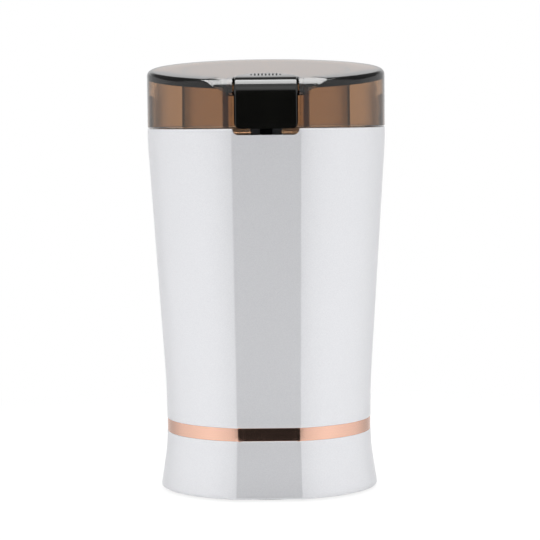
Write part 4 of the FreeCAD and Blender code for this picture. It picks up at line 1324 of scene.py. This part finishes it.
    def cutters(self, pocket: float) -> list[bpy.types.Object]:
        """The spaces for the button, its springs, its foot and the switch block.

        Args:
            pocket: Half the pocket's width.

        Returns:
            The cutters.
        """
        recess = combine(prism(self.plan.outline(AHEAD, self.pocket_gap), (SEAM, ABOVE)),
                         [self.slab(-self.recess_drop, self.slab_depth)], Cut.KEEP)
        well = self.well_half - self.well_wall
        mouth, back = pocket - 0.3 * HAIR, -self.pocket_back
        foot = (-self.press_line - self.pin_half_depth, -self.press_line + self.pin_half_depth)
        return [recess,
                block((-mouth, mouth), (-AHEAD - 1, -self.pocket_front), (self.cut_low + 1, ABOVE - 1)),
                block((-well, well), (back + 0.2 * HAIR, back + self.well_depth),
                      (self.well_floor, self.top - self.well_top_drop)),
                block((-self.pin_half_width, self.pin_half_width), foot, (SEAM - 1, ABOVE - 2)),
                block((-self.block_half, self.block_half), (-AHEAD - 2, -self.block_back),
                      (self.cut_low, SEAM))]


@dataclass
class Button:
    """The glossy push button, with its grip dots, foot and spring pegs."""

    front: float = 46.95
    front_points: tuple[float, ...] = (-8.0, -4.0, 0.0, 4.0, 8.0)
    low: float = 149.0
    rise: float = 0.25
    skin: float = 1.95
    plate: float = 2.3
    front_round: float = 6.5
    round_reach: float = 8.5
    round_steps: int = 8
    side_round: float = 0.7
    upright_round: float = 1.2
    top_corner: float = 0.5
    bottom_round: float = 2.6
    mask_back: float = 10.0
    lid_top: float = 173.5
    foot_size: Place = (4.4, 3.0, 18.7)
    foot_low: float = 148.9
    foot_edge: float = 0.4
    press_line: float = 40.6
    peg_aside: float = 8.0
    peg_line: float = 39.85
    peg_middle: float = 166.6
    peg_length: float = 4.0
    peg_radii: Point = (0.9, 1.1)
    dot_radius: float = 0.36
    dot_rise: float = 0.12
    dot_pitch: float = 1.45
    dot_rows: tuple[tuple[float, int], ...] = ((-26.6, 7), (-28.6, 9), (-30.6, 9), (-32.6, 7))
    plan: ButtonPlan = field(default_factory=ButtonPlan)

    def top_at(self, y: float) -> float:
        """The height of the button's top plane at a place along Y."""
        return self.lid_top + self.rise + math.tan(math.radians(SLOPE)) * y

    def build(self) -> None:
        """Build and dress the button and its dots."""
        cap = self.cap()
        combine(cap, [self.hollow()], Cut.AWAY)
        combine(cap, [self.corner_mask()], Cut.KEEP)
        dressed(tidied(cap, angle=35.0), Slot.BUTTON_BLACK, Body.BUTTON, ["lid_button"])
        dressed(self.inner_parts(), Slot.BUTTON_BLACK, Body.BUTTON)
        dressed(self.dots(), Slot.BUTTON_BLACK, Body.BUTTON)

    def outline(self, inset_side: float, inset_front: float, corner: float) -> list[Point]:
        """The plan with its front corners rounded, moved in a little.

        Args:
            inset_side: How far the sides and back are moved in.
            inset_front: How far the front is moved in.
            corner: The radius of the front corners.

        Returns:
            The (x, y) points.
        """
        half, front = self.plan.half - inset_side, self.front - inset_front
        right = arc((half - corner, -front + corner), corner, -90.0, 0.0, 8)
        left = arc((-half + corner, -front + corner), corner, 180.0, 270.0, 8)
        front_line = [(x, -front) for x in self.front_points]
        return right + self.plan.outline(front, -inset_side)[1:-1] + left + front_line

    def cap(self) -> bpy.types.Object:
        """The cap as a full solid: upright sides, a rolled front edge and eased side edges.

        Returns:
            The piece.
        """
        outer = self.outline(0.0, 0.0, self.upright_round)
        inner = self.outline(self.side_round, self.front_round, self.top_corner)
        form = bmesh.new()
        number = form.verts.layers.int.new("outline_number")
        verts = [form.verts.new((x * MM, y * MM, self.low * MM)) for x, y in outer]
        for place, vert in enumerate(verts):
            vert[number] = place
        face = form.faces.new(verts)
        for step in range(self.round_steps + 1):
            grown = bmesh.ops.extrude_face_region(form, geom=[face])
            if step:
                bmesh.ops.delete(form, geom=[face], context="FACES_ONLY")
            face = next(item for item in grown["geom"] if isinstance(item, bmesh.types.BMFace))
            turn = math.radians(90.0 * step / self.round_steps)
            for vert in face.verts:
                start, end = outer[vert[number]], inner[vert[number]]
                share = 1 - math.cos(turn)
                x, y = (a + (b - a) * share for a, b in zip(start, end))
                drop = self.local_round(start) * (1 - math.sin(turn))
                vert.co = Vector((x, y, self.top_at(y) - drop)) * MM
        bmesh.ops.recalc_face_normals(form, faces=form.faces)
        return piece_from(form, "button_cap")

    def local_round(self, point: Point) -> float:
        """The round's size at a place on the outline: large at the front, small behind."""
        share = min(1.0, max(0.0, (-point[1] - (self.front - self.round_reach)) / self.round_reach))
        return self.side_round + (self.front_round - self.side_round) * share

    def hollow(self) -> bpy.types.Object:
        """The cutter for the space behind the front skin and under the top plate."""
        narrow, wide, far, floor, roof = 30.0, 40.0, 80.0, 100.0, 220.0
        under = moved(block((-wide, wide), (-far, AHEAD), (-far, 0.0)), sloped(self.lid_top - self.plate))
        behind = block((-narrow, narrow), (-self.front + self.skin, wide), (floor, roof))
        return combine(under, [behind], Cut.KEEP)

    def corner_mask(self) -> bpy.types.Object:
        """The space that the cap keeps, with round corners at the bottom of the front skin."""
        half, low = self.plan.half + HAIR, self.low - HAIR
        outline = [(-half, ABOVE), (-half, low), (half, low), (half, ABOVE)]
        solid = prism(outline, (self.mask_back, AHEAD), [(1, self.bottom_round), (2, self.bottom_round)])
        return moved(solid, UPRIGHT)

    def inner_parts(self) -> bpy.types.Object:
        """The foot that meets the switch pin and the two pegs inside the springs.

        Returns:
            The piece.
        """
        form = bmesh.new()
        foot = bmesh.ops.create_cube(form, size=1.0)["verts"]
        middle = Vector((0, -self.press_line, self.foot_low + self.foot_size[2] / 2))
        bmesh.ops.scale(form, vec=Vector(self.foot_size) * MM, verts=foot)
        bmesh.ops.translate(form, vec=middle * MM, verts=foot)
        tall = 10 * MM
        edges = [edge for edge in form.edges if abs(edge.verts[0].co.z - edge.verts[1].co.z) > tall]
        bmesh.ops.bevel(form, geom=edges, offset=self.foot_edge * MM, offset_type="OFFSET", segments=3,
                        profile=0.5, affect="EDGES", material=-1)
        low_radius, high_radius = self.peg_radii
        for x in (-self.peg_aside, self.peg_aside):
            peg = bmesh.ops.create_cone(form, cap_ends=True, segments=24, radius1=low_radius * MM,
                                        radius2=high_radius * MM, depth=self.peg_length * MM)["verts"]
            bmesh.ops.translate(form, vec=Vector((x, -self.peg_line, self.peg_middle)) * MM, verts=peg)
        return tidied(piece_from(form, "button_foot"))

    def dots(self) -> bpy.types.Object:
        """Rows of low grip dots on the top.

        Returns:
            The piece.
        """
        form = bmesh.new()
        for y, count in self.dot_rows:
            for number in range(count):
                x = (number - (count - 1) / 2) * self.dot_pitch
                dome = bmesh.ops.create_uvsphere(form, u_segments=12, v_segments=8,
                                                 radius=self.dot_radius * MM)["verts"]
                bmesh.ops.scale(form, vec=(1.0, 1.0, self.dot_rise / self.dot_radius), verts=dome)
                bmesh.ops.translate(form, vec=Vector((x, y, self.top_at(y))) * MM, verts=dome)
        return tidied(piece_from(form, "button_dots"), angle=60.0)


@dataclass
class Bowl:
    """The spun steel bowl with its flange."""

    radius: float = 35.2
    floor_radius: float = 34.2
    wall: float = 0.6
    top: float = 147.0
    floor: float = 113.8
    straight: float = 10.0
    corner: float = 7.0
    flange: float = 2.2
    lip_radius: float = 0.6
    hole: float = 6.2
    columns: int = 128

    def build(self) -> bpy.types.Object:
        """Build and dress the bowl.

        Returns:
            The piece.
        """
        inside = self.floor + self.wall
        corner = arc((self.floor_radius - self.corner, inside + self.corner), self.corner, -90.0, 0.0, 8)
        outer = arc((self.floor_radius - self.corner, inside + self.corner), self.corner + self.wall, 0.0,
                    -90.0, 8)
        bend = self.top - self.straight
        edge = self.radius + self.flange
        lip = arc((self.radius + self.lip_radius, self.top - self.lip_radius), self.lip_radius, 180.0,
                  90.0, 4)
        rim = arc((edge - self.wall / 2, self.top - self.wall / 2), self.wall / 2, 90.0, -90.0, 4)
        section = ([(self.hole, inside)] + corner + [(self.radius, bend)] + lip + rim
                   + [(self.radius + self.wall, self.top - self.wall), (self.radius + self.wall, bend)]
                   + outer + [(self.hole, self.floor)])
        form = bmesh.new()
        spun(form, section, self.columns, True)
        return dressed(tidied(piece_from(form, "steel_bowl")), Slot.BOWL_STEEL, Body.HOUSING,
                       ["grinding_bowl"])


@dataclass
class Underside:
    """The rubber foot ring and the cord inlet's bush."""

    ring_inner: float = 33.5
    ring_outer: float = 38.0
    ring_height: float = 2.6
    ring_corner: float = 0.5
    groove_offset: float = 0.6
    groove_half: float = 0.3
    groove_depth: float = 0.35
    bush_radius: float = 4.8
    bush_flange: float = 6.6
    bush_flange_thickness: float = 1.8
    bush_flange_corner: float = 0.8
    bush_bore: float = 3.1
    bore_corner: float = 0.5
    bush_face: float = 42.65
    bush_wall: float = 2.55
    bush_length: float = 6.7
    bush_tip: float = 4.4
    barb_radii: Point = (5.8, 5.3)
    barb_rows: Point = (1.0, 1.5)
    bush_height: float = 12.2

    def build(self) -> None:
        """Build and dress both pieces."""
        self.foot()
        self.bush()

    def foot(self) -> bpy.types.Object:
        """The foot ring with a rounded tread and two fine grooves.

        Returns:
            The piece.
        """
        inner, outer, height, corner = self.ring_inner, self.ring_outer, self.ring_height, self.ring_corner
        tread = [(inner, height), (inner, corner), (inner + corner, 0.0)]
        for offset in (-self.groove_offset, self.groove_offset):
            groove = (inner + outer) / 2 + offset
            tread += [(groove - self.groove_half, 0.0), (groove, self.groove_depth),
                      (groove + self.groove_half, 0.0)]
        tread += [(outer - corner, 0.0), (outer, corner), (outer, height)]
        form = bmesh.new()
        spun(form, tread, 128, True)
        return dressed(tidied(piece_from(form, "foot_tread")), Slot.RUBBER_BLACK, Body.HOUSING, ["foot_ring"])

    def bush(self) -> bpy.types.Object:
        """The inlet bush: rounded flange, throat and inner barb.

        Returns:
            The piece.
        """
        face, bore, edge, throat = self.bush_face, self.bush_bore, self.bush_flange, self.bush_radius
        front, back, end = face + self.bush_flange_thickness, face - self.bush_wall, face - self.bush_length
        (wide, narrow), (straight, barb) = self.barb_radii, self.barb_rows
        section = [(bore, front - self.bore_corner), (bore + self.bore_corner, front),
                   (edge - self.bush_flange_corner, front), (edge, front - self.bush_flange_corner),
                   (edge, face), (throat, face), (throat, back), (wide, back), (wide, back - straight),
                   (narrow, back - barb), (throat, back - barb), (self.bush_tip, end), (bore, end)]
        form = bmesh.new()
        spun(form, section, 48, True)
        turn = Matrix.Rotation(math.radians(-90), 4, "X")
        bmesh.ops.transform(form, matrix=Matrix.Translation((0, 0, self.bush_height * MM)) @ turn,
                            verts=form.verts)
        bmesh.ops.recalc_face_normals(form, faces=form.faces)
        return dressed(tidied(piece_from(form, "inlet_bush")), Slot.RUBBER_BLACK, Body.HOUSING,
                       ["cord_inlet"])


@dataclass
class Inside:
    """The CAD nodes that stay as they are and only take a finish."""

    def build(self, frame: dict) -> None:
        """Give every node the finish of its slot.
        """
        for entry in frame["record"]["subparts"]:
            node = frame["nodes"][entry["node"]]
            material = PALETTE.get(Slot(entry["material_slot"]))
            node.data.materials.clear()
            node.data.materials.append(material)
            LOG.info("%s: finish %s", entry["node"], material.name)


# Studio


@dataclass
class Softbox:
    """One soft white lamp."""

    name: str
    place: Place
    aim: Place
    size: Point
    power: float

    def build(self) -> bpy.types.Object:
        """Hang the lamp and turn it to its aim.

        Returns:
            The lamp.
        """
        lamp = bpy.data.lights.new(self.name, "AREA")
        lamp.shape = "RECTANGLE"
        lamp.size, lamp.size_y = self.size
        lamp.energy = self.power
        holder = bpy.data.objects.new(self.name, lamp)
        bpy.context.scene.collection.objects.link(holder)
        holder.location = self.place
        way = Vector(self.aim) - Vector(self.place)
        holder.rotation_euler = way.to_track_quat("-Z", "Y").to_euler()
        holder.visible_camera = False
        return holder


@dataclass
class Studio:
    """The white room, in metres: world, floor, lamps and camera."""

    tent: float = 0.84
    tent_stops: tuple[Point, ...] = ((0.0, 0.015), (0.07, 0.02), (0.104, 1.0), (0.305, 1.25), (0.71, 1.0),
                                     (0.88, 0.66), (0.94, 0.66), (0.975, 0.93))
    above_stops: tuple[Point, ...] = ((0.0, 1.0), (0.28, 1.0), (0.42, 0.24), (0.8, 0.24), (0.92, 0.8))
    above_behind: float = 0.2
    through_stops: tuple[Point, ...] = ((0.0, 1.0), (0.14, 1.0), (0.2, 0.62), (0.25, 0.32), (0.3, 0.1),
                                        (0.46, 0.08), (0.62, 0.6))
    floor_size: float = 6.0
    floor_grey: float = 0.86
    floor_fade: Point = (0.05, 0.32)
    floor_white: Point = (0.84, 1.0)
    distance: float = 0.968
    eye_height: float = 0.156
    focal: float = 155.7
    sensor: float = 36.0
    clip: Point = (0.01, 50.0)
    pitch: float = 3.9
    roll: float = -0.54
    aside: float = 0.001
    lamps: tuple[Softbox, ...] = (
        Softbox("softbox_over", (0.0, 0.1, 1.3), (0.0, 0.0, 0.15), (1.1, 0.75), 24.0),
        Softbox("softbox_front", (0.0, -1.2, 1.5), (0.0, 0.0, 0.08), (1.2, 0.6), 1.0),
    )

    def build(self) -> None:
        """Set up the whole studio."""
        bpy.context.scene.view_settings.view_transform = "Standard"
        self.world()
        self.floor()
        for lamp in self.lamps:
            lamp.build()
        self.camera()

    def world(self) -> None:
        """A white tent, dark round the camera and high behind; a white sheet behind for eye and plastic."""
        world = bpy.data.worlds.new("studio")
        bpy.context.scene.world = world
        world.use_nodes = True
        tree = world.node_tree
        tree.nodes.clear()
        source = add_node(tree, "ShaderNodeTexCoord", {})
        way = add_node(tree, "ShaderNodeSeparateXYZ", {0: source.outputs["Generated"]}).outputs
        depth = add_node(tree, "ShaderNodeMapRange", {"Value": way["Y"], "From Min": -1.0})
        behind = add_node(tree, "ShaderNodeMapRange", {"Value": way["Y"], "From Max": self.above_behind})
        darker = add_node(tree, "ShaderNodeMix",
                          {"Factor": behind.outputs["Result"],
                           "A": self.greys(tree, depth.outputs["Result"], self.tent_stops),
                           "B": self.greys(tree, way["Z"], self.above_stops)},
                          data_type="RGBA", blend_type="MULTIPLY")
        tent = self.background(tree, darker.outputs["Result"], self.tent)
        aside = add_math(tree, "ABSOLUTE", way["X"])
        through = self.background(tree, self.greys(tree, aside, self.through_stops), 1.0)
        white = self.background(tree, (1.0, 1.0, 1.0, 1.0), 1.0)
        ray = add_node(tree, "ShaderNodeLightPath", {}).outputs
        bent = self.mixed(tree, ray["Is Transmission Ray"], tent, through)
        seen = self.mixed(tree, ray["Is Camera Ray"], bent, white)
        add_node(tree, "ShaderNodeOutputWorld", {"Surface": seen})

    @staticmethod
    def greys(tree: bpy.types.NodeTree, value: bpy.types.NodeSocket, stops: Sequence[Point]
              ) -> bpy.types.NodeSocket:
        """A grey that follows a value through (position, grey) stops."""
        return add_ramp(tree, value, [(position, (grey,) * 3) for position, grey in stops])

    @staticmethod
    def background(tree: bpy.types.NodeTree, colour: Feed, strength: float) -> bpy.types.NodeSocket:
        """A background shader of a colour and a strength."""
        return add_node(tree, "ShaderNodeBackground", {"Color": colour, "Strength": strength}).outputs[0]

    @staticmethod
    def mixed(tree: bpy.types.NodeTree, share: bpy.types.NodeSocket, first: bpy.types.NodeSocket,
              second: bpy.types.NodeSocket) -> bpy.types.NodeSocket:
        """The first shader where the share is 0 and the second where it is 1."""
        return add_node(tree, "ShaderNodeMixShader", {0: share, 1: first, 2: second}).outputs[0]

    def floor(self) -> None:
        """A pale floor that takes the contact shadow near the object and fades to white further out."""
        form = bmesh.new()
        bmesh.ops.create_grid(form, x_segments=4, y_segments=4, size=self.floor_size / 2)
        floor = piece_from(form, "floor")
        material = bpy.data.materials.new("pale_floor")
        material.use_nodes = True
        tree = material.node_tree
        tree.nodes.clear()
        source = add_node(tree, "ShaderNodeTexCoord", {})
        length = add_node(tree, "ShaderNodeVectorMath", {0: source.outputs["Object"]}, operation="LENGTH")
        (near, far), (low, high) = self.floor_fade, self.floor_white
        fade = add_node(tree, "ShaderNodeMapRange",
                        {"Value": length.outputs["Value"], "From Min": near, "From Max": far, "To Min": low,
                         "To Max": high}, interpolation_type="SMOOTHSTEP")
        ray = add_node(tree, "ShaderNodeLightPath", {}).outputs
        seen = add_math(tree, "MAXIMUM", ray["Is Camera Ray"], ray["Is Transmission Ray"])
        share = add_math(tree, "MULTIPLY", seen, fade.outputs["Result"])
        matt = add_node(tree, "ShaderNodeBsdfDiffuse", {"Color": (*(self.floor_grey,) * 3, 1.0)})
        white = add_node(tree, "ShaderNodeEmission", {})
        above = self.mixed(tree, share, matt.outputs[0], white.outputs[0])
        side = add_node(tree, "ShaderNodeNewGeometry", {})
        clear = add_node(tree, "ShaderNodeBsdfTransparent", {})
        one_way = self.mixed(tree, side.outputs["Backfacing"], above, clear.outputs[0])
        add_node(tree, "ShaderNodeOutputMaterial", {"Surface": one_way})
        floor.data.materials.append(material)
        floor.visible_glossy = False

    def camera(self) -> None:
        """The photograph's view: from just below the lid's top, slightly down, far off."""
        data = bpy.data.cameras.new("camera")
        data.sensor_width = self.sensor
        data.lens = self.focal
        data.clip_start, data.clip_end = self.clip
        camera = bpy.data.objects.new("camera", data)
        bpy.context.scene.collection.objects.link(camera)
        look = Matrix.Rotation(math.radians(90.0 - self.pitch), 4, "X")
        roll = Matrix.Rotation(math.radians(self.roll), 4, "Z")
        place = Matrix.Translation((self.aside, -self.distance, self.eye_height))
        camera.matrix_world = place @ look @ roll
        bpy.context.scene.camera = camera


def main() -> None:
    """Load the frame, build every piece in order, and set up the studio."""
    logging.basicConfig(level=logging.INFO, format="%(message)s")
    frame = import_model()
    Inside().build(frame)
    Housing().build()
    Lid().build()
    Button().build()
    Bowl().build()
    Underside().build()
    Studio().build()


if __name__ == "__main__":
    main()
